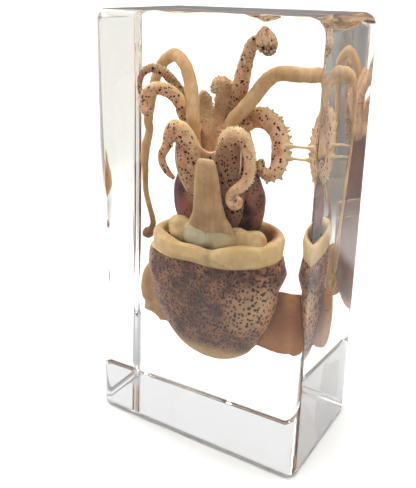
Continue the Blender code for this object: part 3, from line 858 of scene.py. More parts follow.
def makeHead(material):
    shape = headShape
    middleY = shape["middleY"]
    places = []
    for z, middleX, halfWidth, halfDepth in smoothRoute(shape["levels"], 4):
        places.append(levelRing(middleX, middleY, z, halfWidth, halfDepth))
    for share, inset, level in shape["web"]:
        rise = shape["webRise"] * share / 2
        wide, deep = halfWidth + inset, halfDepth + inset
        places.append(levelRing(middleX, middleY, z + level + rise, wide, deep, rise))
    bm = newMesh()
    growRings(bm, places, shape["sides"])
    for vert in bm.verts:
        co = vert.co / mm
        for centre, radius, bulge in shape["eyes"]:
            away = (co - Vector(centre)).length / (radius * shape["eyeReach"])
            outward = Vector((math.copysign(1, centre[0]), -0.35, 0.0)).normalized()
            vert.co += outward * bulge * max(0.0, 1 - away ** 2) * mm
        outward = Vector((co.x - 0.4, (co.y - middleY) * 1.5, 0))
        if co.z < shape["skinTop"] and outward.length > 1:
            vert.co += outward.normalized() * lumps(co, shape["lumps"]) * mm
        elif co.z > shape["webFrom"]:
            vert.co += Vector((0.1, 0.1, 1.1 * noise.noise(co * 0.6))) * 0.4 * mm
    finishPiece("head_and_eyes", bm, [material], ["head"])
    print("head made")


# Funnel: a flattened tube open at the top, and an apron of two grey folds below it with a
# lobe on each side
funnelShape = {
    "levels": (
        # height, middle x, middle y, half width, half depth
        (34.6, 1.6, -5.4, 4.2, 1.2), (36.6, 1.7, -6.0, 4.3, 1.3), (38.6, 1.7, -6.5, 4.3, 1.35),
        (39.6, 1.65, -6.7, 4.05, 1.4), (40.5, 1.5, -6.85, 3.5, 1.45), (41.5, 1.4, -7.0, 3.05, 1.45),
        (43.6, 1.2, -7.2, 2.65, 1.4), (46.3, 1.05, -7.4, 2.4, 1.25), (48.4, 0.9, -7.5, 2.05, 1.1),
        (49.5, 0.82, -7.55, 1.75, 0.95), (50.1, 0.78, -7.6, 1.5, 0.75), (50.35, 0.76, -7.6, 1.3, 0.6),
    ),
    "mouth": ((0.14, -0.05), (0.3, 0.0), (0.42, 0.25), (0.5, 1.2), (0.55, 2.2)),    # inset, drop
    "apron": (
        (-7.1, 37.0), (-7.0, 38.2), (-6.5, 39.0), (-5.6, 39.45), (-4.7, 39.35), (-3.7, 39.05),
        (-2.4, 39.05), (-1.0, 38.95), (0.5, 38.7), (1.8, 38.45), (3.2, 38.6), (4.6, 39.0),
        (5.8, 39.5), (6.7, 39.5), (7.8, 39.35), (9.2, 39.5), (10.3, 39.55), (10.9, 39.1),
        (11.2, 38.2), (10.9, 37.1), (9.5, 36.2), (7.0, 35.5), (3.5, 34.9), (0.0, 34.7),
        (-3.6, 34.9), (-6.0, 35.3), (-6.9, 36.0),
    ),
    "cushions": (
        # middle x and z, half width, half height
        (-1.3, 36.9, 2.9, 2.6), (3.6, 37.3, 3.0, 2.7), (-5.3, 37.3, 2.3, 3.0), (9.0, 37.8, 3.1, 2.7),
    ),
    "apronFront": -4.9,
    "apronBelly": (-1.5, 1.6, 5.5),     # how far it comes forward, where across and how wide
    "apronPuff": 1.75,
    "apronThick": 2.0,
    "apronTop": 40,
    "apronRings": 45,
    # on the tube: depth, place across and its spread, level and its spread
    "crease": (0.2, 1.9, 0.3, 42.5, 5),
    "creaseSlant": (0.05, 42),
    "flanks": (-0.25, 2.1, 0.6, 43.5, 4.5),     # its place is counted from tubeMiddle
    "tubeMiddle": 1.2,
    "sides": 84,
}


# A soft apron on a closed outline of x and z: it starts behind, comes forward over its edge and
# swells into cushions, with a crease where two of them meet
def addApron(bm, shape, index):
    points = [(x, 0, z) for x, z in shape["apron"]]
    edge = smoothRoute([points[-1], *points, points[0], points[1]], 6)[6:-7]
    middle = sum(edge, Vector()) / len(edge)
    thick = shape["apronThick"]
    layers = [(0.9, thick), (0.98, thick * 0.5), (1.01, 0.25), (1.0, 0.0)]
    count = shape["apronRings"]
    layers += [(0.985 - 0.965 * (k / (count - 1)), 0.0) for k in range(count)]
    rings = growRings(bm, [Matrix.Diagonal((share, share, 1, 1)) for share, back in layers], len(edge))
    shadeLayer = bm.verts.layers.float["shade"]
    belly, bellyX, bellyWide = shape["apronBelly"]
    for ring, (share, back) in zip(rings, layers):
        for vert in ring:
            turn = math.atan2(vert.co.y, vert.co.x) / math.tau * len(edge)
            point = middle.lerp(edge[int(turn + len(edge) + 0.25) % len(edge)], share)
            heights = []
            for x, z, halfWidth, halfHeight in shape["cushions"]:
                away = ((point.x - x) / halfWidth) ** 2 + ((point.z - z) / halfHeight) ** 2
                heights.append(math.sqrt(max(0.0, 1 - away)))
            heights.sort()
            height = min(1.0, sum(value ** 4 for value in heights) ** (1 / 4))
            rise = math.sqrt(max(0.0, 1 - share ** 6)) * (0.32 + 0.68 * height)
            depth = shape["apronFront"] + belly * hump(point.x, bellyX, bellyWide)
            vert[shadeLayer] = hump(heights[-1] - heights[-2], 0.0, 0.22) if share < 0.97 else 0
            vert.co = (point + Vector((0, depth + back - shape["apronPuff"] * rise, 0))) * mm
    setFaces(facesAt(vert for ring in rings for vert in ring), index)


def makeFunnel(materials):
    shape = funnelShape
    places = [levelRing(x, y, z, wide, deep) for z, x, y, wide, deep in smoothRoute(shape["levels"], 5)]
    z, x, y, wide, deep = shape["levels"][-1]
    for inset, drop in shape["mouth"]:
        places.append(levelRing(x, y, z - drop, wide - inset, max(deep - inset, 0.05)))
    bm = newMesh()
    growRings(bm, places, shape["sides"])
    for vert in bm.verts:
        co = vert.co / mm
        slant, level = shape["creaseSlant"]
        crease = swell(co.x - slant * (co.z - level), co.z, *shape["crease"])
        flanks = swell(abs(co.x - shape["tubeMiddle"]), co.z, *shape["flanks"])
        vert.co.y += (crease + flanks + 0.12 * noise.noise(co * 0.5)) * mm
    setFaces(bm.faces, 0)
    addApron(bm, shape, 1)
    for vert in bm.verts:
        co = vert.co / mm
        if co.z < shape["apronTop"]:
            vert.co += Vector((0.6, 1.0, 0.5)) * 0.22 * noise.noise(co * 0.75 + Vector((3, 1, 7))) * mm
    finishPiece("funnel_and_folds", bm, materials, ["funnel"])
    print("funnel made")


# Limbs: each station of a route is x, y, z, half width, half depth and, unless it is 0, shade.
# Outer is the side of the suckers, +1 for a limb that bends to the left. A row of suckers is its
# start and end as shares of the limb, spacing, angle from the front towards that side, spread,
# size, height and how wide its tip is. A strand is its material and its points of x, y, z and
# radius. A rope has rings: their spacing and depth
limbShapes = {
    "arm_ventral_left": {
        "route": (
            (-2.5, -4.6, 43.2, 0.3, 0.3, 0.3), (-3, -4.6, 44.4, 0.95, 0.8, 0.28),
            (-3.3, -4.4, 46.2, 1.7, 1.2, 0.22), (-3.7, -4.3, 48.6, 2.15, 1.4, 0.12),
            (-3.65, -4.4, 50.9, 2.3, 1.5, 0.05), (-4, -4.8, 52.6, 1.95, 1.5), (-4.9, -5.1, 53.9, 1.72, 1.5),
            (-6.1, -5.3, 54, 1.72, 1.5), (-6.95, -5.3, 53, 1.35, 1.3), (-7.4, -5.2, 52, 0.98, 0.98),
            (-7.85, -5.1, 51, 0.9, 0.88), (-8.6, -5, 49.6, 0.8, 0.8, 0.02),
            (-8.7, -5, 48.5, 0.74, 0.74, 0.05), (-8.15, -5, 47.3, 0.68, 0.68, 0.1),
            (-7.2, -5, 46.4, 0.6, 0.6, 0.2), (-6.2, -5, 45.7, 0.35, 0.35, 0.3),
        ),
        "outer": 1, "spots": 0.85, "step": 0.25,
        "suckers": ((0.45, 0.68, 0.28, 80, 30, 0.15, 0.2, 0.6), (0.6, 0.72, 0.2, -90, 30, 0.2, 0.35, 0.4)),
        "strands": (
            (1, (-5.8, -4.7, 52.6, 0.12), (-5.95, -5.0, 50.6, 0.17), (-5.8, -5.0, 48.4, 0.2),
             (-4.95, -5.0, 46.0, 0.18), (-3.8, -4.9, 44.1, 0.1)),
            (0, (-2.0, -4.9, 52.6, 0.2), (-1.0, -5.1, 51.5, 0.24), (0.4, -5.3, 50.95, 0.26),
             (1.8, -5.2, 51.4, 0.2)),
        ),
    },
    "arm_ventral_right": {
        "route": (
            (5, -4.2, 38.8, 0.3, 0.3, 0.9), (4.9, -4.3, 39.9, 1.2, 0.9, 0.9),
            (4.8, -4.4, 42.2, 1.9, 1.2, 0.85), (4.65, -4.4, 45.5, 2.15, 1.35, 0.72),
            (4.3, -4.3, 49, 2.45, 1.5, 0.66), (4, -4.5, 52, 2.6, 1.55, 0.6), (4.1, -5, 53.4, 2, 1.5, 0.3),
            (4.8, -5.3, 54.35, 1.5, 1.35, 0.08), (6, -5.3, 54.3, 1.4, 1.3), (7.1, -5.3, 53.3, 1.15, 1.1),
            (7.65, -5.6, 52.1, 1, 0.98), (8, -5.9, 50.2, 0.92, 0.92), (7.8, -6.3, 48, 0.86, 0.86),
            (6.8, -6.8, 46.7, 0.8, 0.8), (5.7, -7.1, 45.8, 0.72, 0.72), (5.15, -7.3, 44.9, 0.66, 0.66),
            (5.25, -7.4, 43.9, 0.62, 0.62), (6.1, -7.5, 43.4, 0.58, 0.58),
            (6.95, -7.6, 43.85, 0.5, 0.5, 0.05), (7.1, -7.6, 44.7, 0.42, 0.42, 0.15),
            (6.55, -7.6, 45.05, 0.34, 0.34, 0.35), (6.2, -7.6, 44.7, 0.2, 0.2, 0.6),
        ),
        "outer": -1, "spots": 0.75, "spotsEnd": 0.42, "step": 0.25,
        "suckers": (
            (0.4, 0.98, 0.24, 95, 14, 0.2, 0.34, 0.3), (0.4, 0.96, 0.26, 66, 18, 0.22, 0.2, 0.55),
            (0.42, 0.94, 0.3, 36, 14, 0.2, 0.13, 0.65), (0.5, 0.85, 0.4, -90, 20, 0.14, 0.12, 0.6),
        ),
        "strands": (
            (1, (6.3, -5.7, 53.2, 0.1), (6.5, -5.9, 51.4, 0.17), (6.45, -5.9, 49.6, 0.15),
             (6.3, -5.8, 48.6, 0.08)),
        ),
    },
    "arm_side_left": {
        "route": (
            (-4.8, 1.2, 49.5, 1.9, 1.6, 0.4), (-5.3, 1.1, 52, 1.65, 1.5, 0.25),
            (-5.8, 0.8, 54.6, 1.4, 1.3, 0.1), (-6.35, -0.1, 56.3, 1.3, 1.2, 0.02),
            (-6.7, -1, 58, 1.25, 1.15), (-7.8, -2, 59.5, 1.2, 1.15), (-9.4, -3, 60.25, 1.15, 1.1),
            (-11.2, -3.5, 60.1, 1.05, 1), (-12.5, -3.8, 59.1, 0.88, 0.88),
            (-12.85, -4, 57.8, 0.78, 0.78, 0.02), (-12.45, -4.2, 56.7, 0.85, 0.85, 0.1),
            (-11.75, -4.4, 56.3, 0.92, 0.92, 0.12), (-11.3, -4.5, 56.8, 0.6, 0.6, 0.2),
        ),
        "outer": 1, "spots": 0.95, "step": 0.22,
        "suckers": ((0.3, 1.0, 0.3, 88, 22, 0.14, 0.2, 0.5), (0.3, 1.0, 0.34, 120, 22, 0.15, 0.2, 0.5)),
    },
    "arm_side_right": {
        "route": (
            (4.6, 1.9, 49.5, 1.7, 1.5, 0.35), (3.7, 2.2, 52.6, 1.6, 1.45, 0.2),
            (3.4, 2.8, 54.6, 1.55, 1.4, 0.08), (4.6, 3, 56, 1.6, 1.4), (6.5, 2.7, 56.7, 1.7, 1.45),
            (8.4, 2.1, 56.5, 1.65, 1.4), (9.8, 1.6, 55.5, 1.55, 1.35), (10.75, 1.2, 54, 1.5, 1.3),
            (11.05, 0.8, 52.4, 1.45, 1.25), (11.1, 0.4, 50.7, 1.4, 1.2), (10.8, 0.1, 49.2, 1.25, 1.15),
            (9.9, 0, 48.3, 1.15, 1.05), (8.95, -0.1, 48.3, 1, 0.95, 0.03),
            (8.2, -0.2, 49, 0.85, 0.85, 0.15), (8.1, -0.3, 49.9, 0.75, 0.75, 0.25),
            (8.7, -0.3, 50.2, 0.5, 0.5, 0.2),
        ),
        "outer": -1, "spots": 0.55, "step": 0.26,
        "suckers": (
            (0.42, 0.9, 0.62, 92, 10, 0.42, 0.62, 0.35), (0.34, 0.98, 0.24, 88, 20, 0.22, 0.22, 0.55),
            (0.34, 0.96, 0.3, 122, 22, 0.22, 0.26, 0.5), (0.4, 0.92, 0.5, 62, 10, 0.26, 0.16, 0.6),
        ),
        "strands": (
            (1, (11.7, 0.6, 53.0, 0.8), (12.7, 0.6, 53.05, 0.5), (13.5, 0.8, 53.1, 0.24),
             (15.4, 2.4, 52.9, 0.19), (17.3, 4.3, 52.4, 0.16)),
            (1, (11.8, 0.4, 51.2, 0.8), (12.8, 0.5, 51.2, 0.5), (13.6, 0.8, 51.2, 0.24),
             (15.4, 2.3, 51.0, 0.19), (17.3, 4.2, 50.6, 0.16)),
        ),
    },
    "arm_upper_left": {
        "route": (
            (-4.6, 3.9, 50, 1.3, 1.2, 0.48), (-5.6, 3.9, 53.8, 1.1, 1, 0.33),
            (-6.6, 3.6, 57, 0.98, 0.92, 0.28), (-8.2, 2.5, 59.5, 0.92, 0.9, 0.26),
            (-9.25, 1.8, 61, 0.9, 0.88, 0.24), (-10.4, 1, 62.4, 0.85, 0.84, 0.24),
            (-11.8, 0.3, 63.1, 0.8, 0.78, 0.24), (-13.1, -0.3, 63.2, 0.74, 0.72, 0.26),
            (-14.3, -0.8, 62.4, 0.64, 0.62, 0.3), (-14.75, -1.2, 61.1, 0.55, 0.54, 0.34),
            (-14.55, -1.7, 59.6, 0.45, 0.44, 0.38), (-14.2, -2, 58.5, 0.26, 0.26, 0.43),
        ),
        "outer": 1, "spots": 0.5, "step": 0.09, "rope": (0.46, 0.12),
        "suckers": ((0.2, 1.0, 0.22, 90, 20, 0.12, 0.18, 0.5), (0.2, 1.0, 0.26, 55, 16, 0.12, 0.12, 0.5)),
    },
    "arm_upper_right": {
        "route": (
            (2.6, 4.4, 50, 1.5, 1.4, 0.3), (2, 5, 54.5, 1.4, 1.3, 0.15), (1.8, 4.6, 58.2, 1.38, 1.25, 0.05),
            (3.05, 2.6, 60.8, 1.35, 1.25, 0.02), (3.85, 1.4, 63.3, 1.28, 1.2, 0.02),
            (4.85, 0, 65.5, 1.12, 1.05, 0.04), (5.55, -0.7, 67.3, 1, 0.98, 0.08),
            (6.3, -1.1, 68.5, 1, 0.98, 0.16), (7.3, -1.3, 68.8, 1, 0.95, 0.26),
            (8.2, -1.4, 68.4, 0.9, 0.9, 0.4), (8.6, -1.4, 67.9, 0.5, 0.5, 0.5),
        ),
        "outer": -1, "spots": 0.6, "step": 0.14, "rope": (0.77, 0.04),
        "suckers": (
            (0.25, 0.86, 0.3, 92, 14, 0.24, 0.3, 0.45), (0.25, 0.86, 0.16, 40, 50, 0.2, 0.14, 0.6),
        ),
        "bulb": (
            (8.5, -1.4, 66.75, 0.3, 0.3, 0.65), (8.6, -1.4, 67.15, 1.05, 1, 0.62),
            (8.65, -1.4, 67.9, 1.55, 1.4, 0.55), (8.5, -1.4, 68.7, 1.68, 1.45, 0.4),
            (8.35, -1.4, 69.4, 1.5, 1.3, 0.25), (8.2, -1.4, 70, 1.2, 1.05, 0.15),
            (8.15, -1.35, 70.5, 0.8, 0.7, 0.1), (8.15, -1.3, 70.9, 0.2, 0.2, 0.08),
        ),
    },
    "arm_dorsal_left": {
        "route": (
            (-2.1, 2.2, 50, 1.8, 1.5, 0.3), (-2.9, 2.6, 53, 1.75, 1.4, 0.15),
            (-3.6, 3.8, 55.4, 1.45, 1.25, 0.05), (-3.85, 4.6, 57.2, 1.3, 1.2),
            (-3.95, 4.4, 58.3, 1.1, 1.05), (-4, 4.1, 59.1, 0.85, 0.8), (-3.9, 4, 59.7, 0.55, 0.5),
            (-3.8, 4, 60, 0.2, 0.2),
        ),
        "outer": 1, "spots": 0.05, "step": 0.25,
        "suckers": (
            (0.45, 1.0, 0.035, 50, 90, 0.2, 0.26, 0.5), (0.45, 1.0, 0.035, -50, 90, 0.2, 0.26, 0.5),
            (0.85, 1.0, 0.03, 0, 180, 0.17, 0.44, 0.45),
        ),
    },
    "arm_dorsal_right": {
        "route": (
            (1.1, 2.3, 50, 1.9, 1.5, 0.3), (0.3, 2.7, 53.2, 1.8, 1.4, 0.15),
            (-0.4, 3.8, 55.4, 1.45, 1.25, 0.05), (-0.75, 4.5, 57.2, 1.35, 1.2),
            (-0.5, 4.1, 58.8, 1.35, 1.2), (0.2, 3.5, 60.2, 1.35, 1.25), (0.35, 2.8, 61.2, 1.25, 1.2),
            (-0.3, 2.2, 61.6, 1.2, 1.15, 0.05), (-1, 1.7, 60.8, 1, 1, 0.3),
            (-0.9, 1.5, 60, 0.55, 0.55, 0.5),
        ),
        "outer": -1, "spots": 0.05, "step": 0.25,
        "suckers": (
            (0.42, 1.0, 0.035, 60, 80, 0.2, 0.26, 0.5), (0.42, 1.0, 0.035, -60, 80, 0.2, 0.26, 0.5),
            (0.6, 1.0, 0.1, 90, 40, 0.18, 0.42, 0.45),
        ),
    },
    "tentacle_left": {
        "route": (
            (-3.3, -1.2, 50, 1, 1, 0.3), (-3.6, -1.2, 52.8, 0.95, 0.95, 0.1), (-4.2, -1, 55.6, 1.3, 1.2),
            (-4.7, -0.4, 59, 1.28, 1.18), (-5.8, 0.8, 62.3, 1.22, 1.12), (-7.55, 2, 64.65, 1.15, 1.08),
            (-9.7, 3, 65.5, 1.12, 1.05), (-12.1, 4, 64.2, 1.08, 1), (-13.35, 4, 62.06, 0.98, 0.9),
            (-13.8, 3.1, 59.7, 0.95, 0.8), (-13.95, 2.5, 57.7, 0.88, 0.75), (-14.48, 2, 54.22, 0.95, 0.75),
            (-14.18, 2, 52.26, 0.78, 0.68), (-14.88, 2, 49.41, 0.88, 0.75),
            (-15.27, 2.1, 47.13, 0.86, 0.72, 0.02), (-15.5, 3, 44.77, 0.68, 0.62, 0.04),
            (-15.9, 4.2, 41, 0.58, 0.54, 0.1), (-14.95, 3.8, 38.1, 0.56, 0.52, 0.25),
            (-14.1, 3.4, 36.2, 0.58, 0.56, 0.45), (-13.85, 3.3, 35.1, 0.6, 0.58, 0.6),
            (-13.95, 3.2, 34.2, 0.64, 0.62, 0.68), (-14.3, 3.2, 33.4, 0.9, 0.85, 0.72),
            (-14.95, 3.2, 32.85, 1.1, 1, 0.72), (-15.7, 3.2, 32.8, 0.85, 0.8, 0.72),
            (-16.05, 3.2, 32.9, 0.3, 0.3, 0.72),
        ),
        "outer": 1, "spots": 0.0, "step": 0.28, "suckers": ((0.9, 0.97, 0.16, 0, 120, 0.12, 0.1, 0.6),),
    },
    "tentacle_right": {
        "route": (
            (2.9, -0.8, 50, 1.3, 1.2, 0.3), (2.6, -0.5, 53.1, 1.15, 1.1, 0.1), (2.7, 0, 55.8, 1.15, 1.1),
            (4.1, 0.5, 57.6, 1.2, 1.12), (5.8, 1, 59.8, 1.2, 1.12), (7.4, 1.2, 62, 1.2, 1.12),
            (8.7, 1.4, 63.35, 1.2, 1.12), (10.2, 1.6, 64, 1.2, 1.12), (12.6, 2, 64, 1.2, 1.12),
            (14.8, 2.8, 63.9, 1.15, 1.08), (16.7, 3.8, 62.9, 1, 0.95), (17.5, 4.8, 60, 0.7, 0.66),
            (17.6, 5, 55, 0.58, 0.56), (17.5, 3.8, 46, 0.52, 0.5), (17.4, 2.8, 39.6, 0.48, 0.5, 0.05),
            (17.4, 2.3, 36.4, 0.6, 0.95, 0.4), (17.4, 2, 33.8, 0.7, 1.1, 0.5),
            (17.4, 1.9, 31.9, 0.5, 0.75, 0.5), (17.4, 1.9, 31, 0.2, 0.25, 0.5),
        ),
        "outer": -1, "spots": 0.0, "step": 0.28, "suckers": ((0.9, 0.98, 0.16, 0, 120, 0.12, 0.1, 0.6),),
    },
}


suckerShape = {
    "sunk": 0.93,           # where its root lies, as a share of the limb's radius
    "widths": (0.75, 1.25),
    "heights": (0.6, 1.3),
    "lean": 0.4,
    "sides": 6,
}


def addSuckers(bm, places, length, row, outer, rng):
    start, end, every, middle, spread, size, height, tip = row
    shape = suckerShape
    sideLayer = bm.verts.layers.float["side"]
    count = max(int(length * (end - start) / every), 1)
    for k in range(count):
        share = start + (end - start) * (k + rng.uniform(0.15, 0.85)) / count
        place = places[min(int((len(places) - 1) * share), len(places) - 2)]
        turn = math.radians(middle + rng.uniform(-spread, spread))
        outward, across, along = place.col[0].xyz, place.col[1].xyz * outer, place.col[2].xyz.normalized()
        way = outward.normalized() * math.cos(turn) + across.normalized() * math.sin(turn)
        root = place.col[3].xyz + (outward * math.cos(turn) + across * math.sin(turn)) * shape["sunk"]
        fit = min(1.0, 0.45 + 0.55 * across.length / mm)
        wide = size * rng.uniform(*shape["widths"]) * fit * mm
        tall = height * rng.uniform(*shape["heights"]) * fit * mm
        lean = (way + along * rng.uniform(-shape["lean"], shape["lean"])).normalized()
        turned = lean.to_track_quat("Z", "Y").to_matrix().to_4x4()
        cone = bmesh.ops.create_cone(
            bm, cap_ends=True, segments=shape["sides"], radius1=wide, radius2=wide * tip,
            depth=tall * 1.5, matrix=Matrix.Translation(root + lean * tall * 0.3) @ turned,
        )["verts"]
        for vert in cone:
            vert[sideLayer] = 1.0
        setFaces(facesAt(cone), 1)


# The pear-shaped curl at the tip of one arm, with soft strands drawn together at its top
bulbShape = {
    "step": 0.14,
    "sides": 36,
    "spots": 0.9,
    "length": 4.6,
    "suckers": (0.1, 0.72, 0.022, 0, 180, 0.17, 0.26, 0.5),
    "strands": 20,
    "strandPoints": ((0.42, 0.2), (0.6, 0.2), (0.78, 0.15), (1.0, 0.05)),   # share of the bulb, radius
    "top": 71.1,
}


def addBulb(bm, route, rng):
    shape = bulbShape
    sideLayer, shadeLayer, spotsLayer, slitLayer = (bm.verts.layers.float[key] for key in attributeNames)
    stations = limbStations(route, shape["step"])
    places = limbPlaces(stations)
    rings = growRings(bm, places, shape["sides"])
    for station, ring in zip(stations, rings):
        for vert in ring:
            co = vert.co / mm
            vert[shadeLayer], vert[spotsLayer], vert[sideLayer] = station[5], shape["spots"], 0.0
            vert[slitLayer] = max(0.0, noise.noise(Vector((co.x * 3.2, co.y * 3.2, co.z * 0.8)))) * 1.2
            vert.co += (vert.co - Vector(station[:3]) * mm).normalized() * 0.2 * noise.noise(co * 2.2) * mm
    addSuckers(bm, places, shape["length"], shape["suckers"], 1, rng)
    for k in range(shape["strands"]):
        turn = math.tau * k / shape["strands"] + rng.uniform(-0.1, 0.1)
        points = []
        for share, radius in shape["strandPoints"]:
            x, y, z, halfWidth = stations[int((len(stations) - 1) * share)][:4]
            wide = max(halfWidth, 0.16 + 0.3 * rng.random()) * 0.95
            z = min(z + rng.uniform(-0.15, 0.2), shape["top"])
            points.append((x + wide * math.cos(turn), y + wide * 0.9 * math.sin(turn), z, radius))
        addStrand(bm, points, 0, 0.6, sides=6)


limbLumps = {
    "arm": ((0.1, 1.1), (0.05, 2.7), (0.12, 4.3)),
    "tentacle": ((0.1, 1.1), (0.05, 2.7)),
}


def makeLimb(name, materials):
    shape = limbShapes[name]
    sizes = limbLumps[name.split("_")[0]]
    step = shape["step"]
    rng = random.Random(sum(ord(letter) for letter in name))
    stations = limbStations(shape["route"], step)
    places = limbPlaces(stations)
    bm = newMesh()
    sideLayer, shadeLayer, spotsLayer, slitLayer = (bm.verts.layers.float[key] for key in attributeNames)
    rings = growRings(bm, places, 24)
    period, deep = shape.get("rope", (1.0, 0.0))
    for i, (station, place, ring) in enumerate(zip(stations, places, rings)):
        middle = place.col[3].xyz
        spots = shape["spots"] * (1.0 if i < len(rings) * shape.get("spotsEnd", 1.0) else 0.25)
        for vert in ring:
            vert[shadeLayer] = station[5]
            vert[spotsLayer] = spots
            vert[sideLayer] *= shape["outer"]
            co = vert.co / mm
            lump = lumps(co, sizes)
            if deep:
                lean = math.cos(math.tau * (i * step + 0.25 * noise.noise(co * 1.5)) / period)
                lump += deep * lean
                vert[slitLayer] = max(0.0, -0.2 - lean) * (0.35 + 0.65 * abs(vert[sideLayer])) * deep / 0.11
            vert.co += (vert.co - middle).normalized() * lump * mm * min(1, station[3])
    if "bulb" in shape:
        addBulb(bm, shape["bulb"], rng)
    for row in shape["suckers"]:
        addSuckers(bm, places, step * (len(stations) - 1), row, shape["outer"], rng)
    for index, *points in shape.get("strands", ()):
        addStrand(bm, points, index, 1.0 if index else 0.3)
    finishPiece(name + "_flesh", bm, materials, [name])


# Clear block: its flats keep flat normals, so they bend the view as flat faces do. Each edge is
# rounded by its own share of the widest radius
blockShape = {
    "edgeRadius": 2.9,
    "segments": 7,
    "frontRight": 0.64,
    "frontLeft": 1.0,
    "backEdges": 0.9,
    "topFront": 0.38,
    "topOthers": 0.8,
    "bottom": 0.41,
}


def makeBlock(material):
    shape = blockShape
    low, high = (Vector(corner) for corner in cadBox)
    centre = (low + high) / 2
    bm = bmesh.new()
    bmesh.ops.create_cube(bm, size=1.0)
    bmesh.ops.scale(bm, vec=high - low, verts=bm.verts)
    bmesh.ops.translate(bm, vec=centre, verts=bm.verts)
    weights = bm.edges.layers.float.new("bevel_weight_edge")
    for edge in bm.edges:
        middle = (edge.verts[0].co + edge.verts[1].co) / 2 - centre
        if abs(middle.z) < 1e-6:        # an upright edge
            front = "frontRight" if middle.x > 0 else "frontLeft"
            edge[weights] = shape[front if middle.y < 0 else "backEdges"]
        elif middle.z < 0:
            edge[weights] = shape["bottom"]
        else:
            edge[weights] = shape["topFront" if middle.y < -1e-6 else "topOthers"]
    block = finishPiece("clear_block", bm, [material], ["block_front", "block_back"], 40)
    block.data.shade_smooth()
    rounding = block.modifiers.new("edges", "BEVEL")
    rounding.limit_method = "WEIGHT"
    rounding.width = shape["edgeRadius"] * mm
    rounding.segments = shape["segments"]
    rounding.profile = 0.5
    rounding.harden_normals = True
    rounding.use_clamp_overlap = True
    print("block made")


# Floor, lights and camera. The white sheet is overexposed, as in the photograph, and turns
# greyer to the right and in front, and in the strip that the block's right face mirrors
stageLook = {
    "floorRadius": 6000,
    "floorLevel": -0.12,         # a hair of air under the block, so that its underside mirrors
    "paper": ((0.47, 0.47, 0.47, 1), (0.49, 0.49, 0.49, 1)),
    # grey areas: tone, and where each starts and is full
    "front": ((0.075, 0.07, 0.066, 1), (45, 110)),
    "right": ((0.31, 0.305, 0.29, 1), (45, 100)),
    "strip": ((0.13, 0.12, 0.11, 1), (28, 42)),
    "stripEdge": ((1, -0.364, 0), (30, 20)),       # a slanting line by x and y
    "stripFoot": ((1, -0.78, 0), (-22, -16)),
    "stripFar": (90, 160),
    "softbox": (29.0, 29.0, 28.13, 1),             # straight overhead
    "softboxSpread": (0.95, 0.978),
    "sky": (
        # brightness, axis, where it starts and is full
        (0.32, "y", 0.3, 0.6),          # behind the block, which its top mirrors
        (0.86, "z", 0.42, 0.5),
        (0.66, "z", 0.66, 0.85),
        (0.52, "y", 0.0, -0.5),         # in front
    ),
    "skyLow": 2.7,               # near the horizon, where no view through the block ends
}


def makeFloor():
    look = stageLook
    bm = bmesh.new()
    bmesh.ops.create_circle(bm, cap_ends=True, segments=64, radius=look["floorRadius"] * mm)
    bmesh.ops.translate(bm, vec=(0, 0, look["floorLevel"] * mm), verts=bm.verts)
    mesh = bpy.data.meshes.new("floor")
    bm.to_mesh(mesh)
    bm.free()
    paper = newMaterial("paleFloor", 0.8)
    paper.base = paper.mix(paper.cloud(60.0, 3.0), *look["paper"])
    byTone = {}
    for name, way in (("front", paper.times(paper.y, -1.0)), ("right", paper.x), ("strip", paper.x)):
        byTone[name] = paper.span(way, *look[name][1])
    edge, foot = (
        paper.span(paper.vector("DOT_PRODUCT", paper.place, look[line][0]), *look[line][1])
        for line in ("stripEdge", "stripFoot")
    )
    apart = paper.math("MAXIMUM", foot, paper.span(paper.y, *look["stripFar"]))[0]
    byTone["strip"] = paper.times(paper.times(edge, byTone["strip"]), apart)
    for name, mask in byTone.items():
        paper.base = paper.mix(mask, paper.base, look[name][0])
    paper.shader.inputs["Specular IOR Level"].default_value = 0.1
    mesh.materials.append(paper.done())
    floor = bpy.data.objects.new("floor", mesh)
    bpy.context.scene.collection.objects.link(floor)


def makeSky():
    look = stageLook
    world = bpy.data.worlds.new("studio")
    bpy.context.scene.world = world
    world.use_nodes = True
    background = world.node_tree.nodes["Background"]
    sky = NodeSketch(world.node_tree, "Generated")
    sky.base = (look["skyLow"],) * 3 + (1,)
    for brightness, axis, start, full in look["sky"]:
        mask = sky.remap(getattr(sky, axis), start, full)
        sky.base = sky.mix(mask, sky.base, (brightness,) * 3 + (1,))
    sky.base = sky.mix(sky.remap(sky.z, *look["softboxSpread"]), sky.base, look["softbox"])
    sky.feed(background.inputs["Color"], sky.base)
    background.inputs["Strength"].default_value = 1.0


lightLook = {
    # name: place, aim, size in metres, watts
    "leftLight": ((-1.2, 0.1, 1.0), (0.0, 0.0, 0.03), 0.5, 16.0),
}


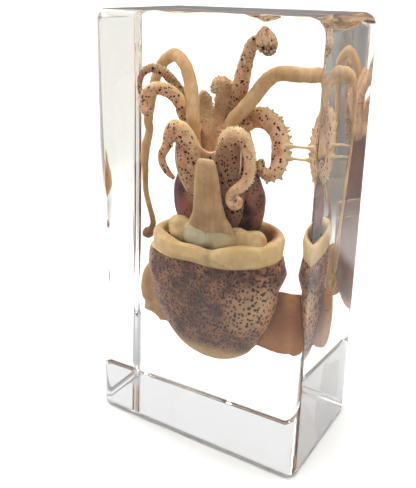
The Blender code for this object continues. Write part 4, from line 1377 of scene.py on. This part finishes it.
def makeLights():
    for name, (place, aim, size, watts) in lightLook.items():
        data = bpy.data.lights.new(name, "AREA")
        data.shape = "DISK"
        data.size = size
        data.energy = watts
        light = bpy.data.objects.new(name, data)
        light.location = place
        light.rotation_euler = (Vector(aim) - Vector(place)).to_track_quat("-Z", "Y").to_euler()
        bpy.context.scene.collection.objects.link(light)


cameraView = {
    "place": (54.2, -98.6, 77.0),
    "azimuth": 32.31,
    "elevation": 17.01,
    "roll": 0.80,
    "focal": 676.5,              # in pixels of the 416 x 488 picture
    "centre": (190, 190),        # pixel that the lens looks straight at
    "picture": (416, 488),
    "sensor": 36,
}


def makeCamera():
    view = cameraView
    turn, rise, roll = (math.radians(view[key]) for key in ("azimuth", "elevation", "roll"))
    back = Vector((math.sin(turn) * math.cos(rise), -math.cos(turn) * math.cos(rise), math.sin(rise)))
    right = (-back).cross(Vector((0, 0, 1))).normalized()
    up = back.cross(right)
    rightRolled = right * math.cos(roll) + up * math.sin(roll)
    upRolled = up * math.cos(roll) - right * math.sin(roll)
    data = bpy.data.cameras.new("camera")
    camera = bpy.data.objects.new("camera", data)
    bpy.context.scene.collection.objects.link(camera)
    camera.matrix_world = ringPlace(Vector(view["place"]) * mm, rightRolled, upRolled, back)
    width, height = view["picture"]
    data.sensor_fit = "VERTICAL"
    data.sensor_height = view["sensor"]
    data.lens = view["focal"] / height * view["sensor"]
    data.shift_x = (width / 2 - view["centre"][0]) / height
    data.shift_y = (view["centre"][1] - height / 2) / height
    data.clip_start = 0.001
    bpy.context.scene.camera = camera
    bpy.context.scene.view_settings.view_transform = "Standard"


def main():
    makeCamera()
    makeFloor()
    makeSky()
    makeLights()
    print("stage made")
    makeSac([makeSkin(), makeLipFlesh(), makeInnerSac()])
    makeFin("fin_left")
    makeFin("fin_right")
    print("fins made")
    makeHead(makeHeadSkin())
    makeFunnel([makeFunnelFlesh(), makeFoldFlesh()])
    armSkin, suckerFlesh, tentacleFlesh = makeArmSkin(), makeSuckerFlesh(), makeTentacleFlesh()
    for name in limbShapes:
        isArm = name.startswith("arm")
        skin, slot = (armSkin, "arm_skin") if isArm else (tentacleFlesh, "cream_flesh")
        makeLimb(name, [skin, suckerFlesh])
    print("limbs made")
    makeBlock(makeAcrylic())


main()
print("scene ready")
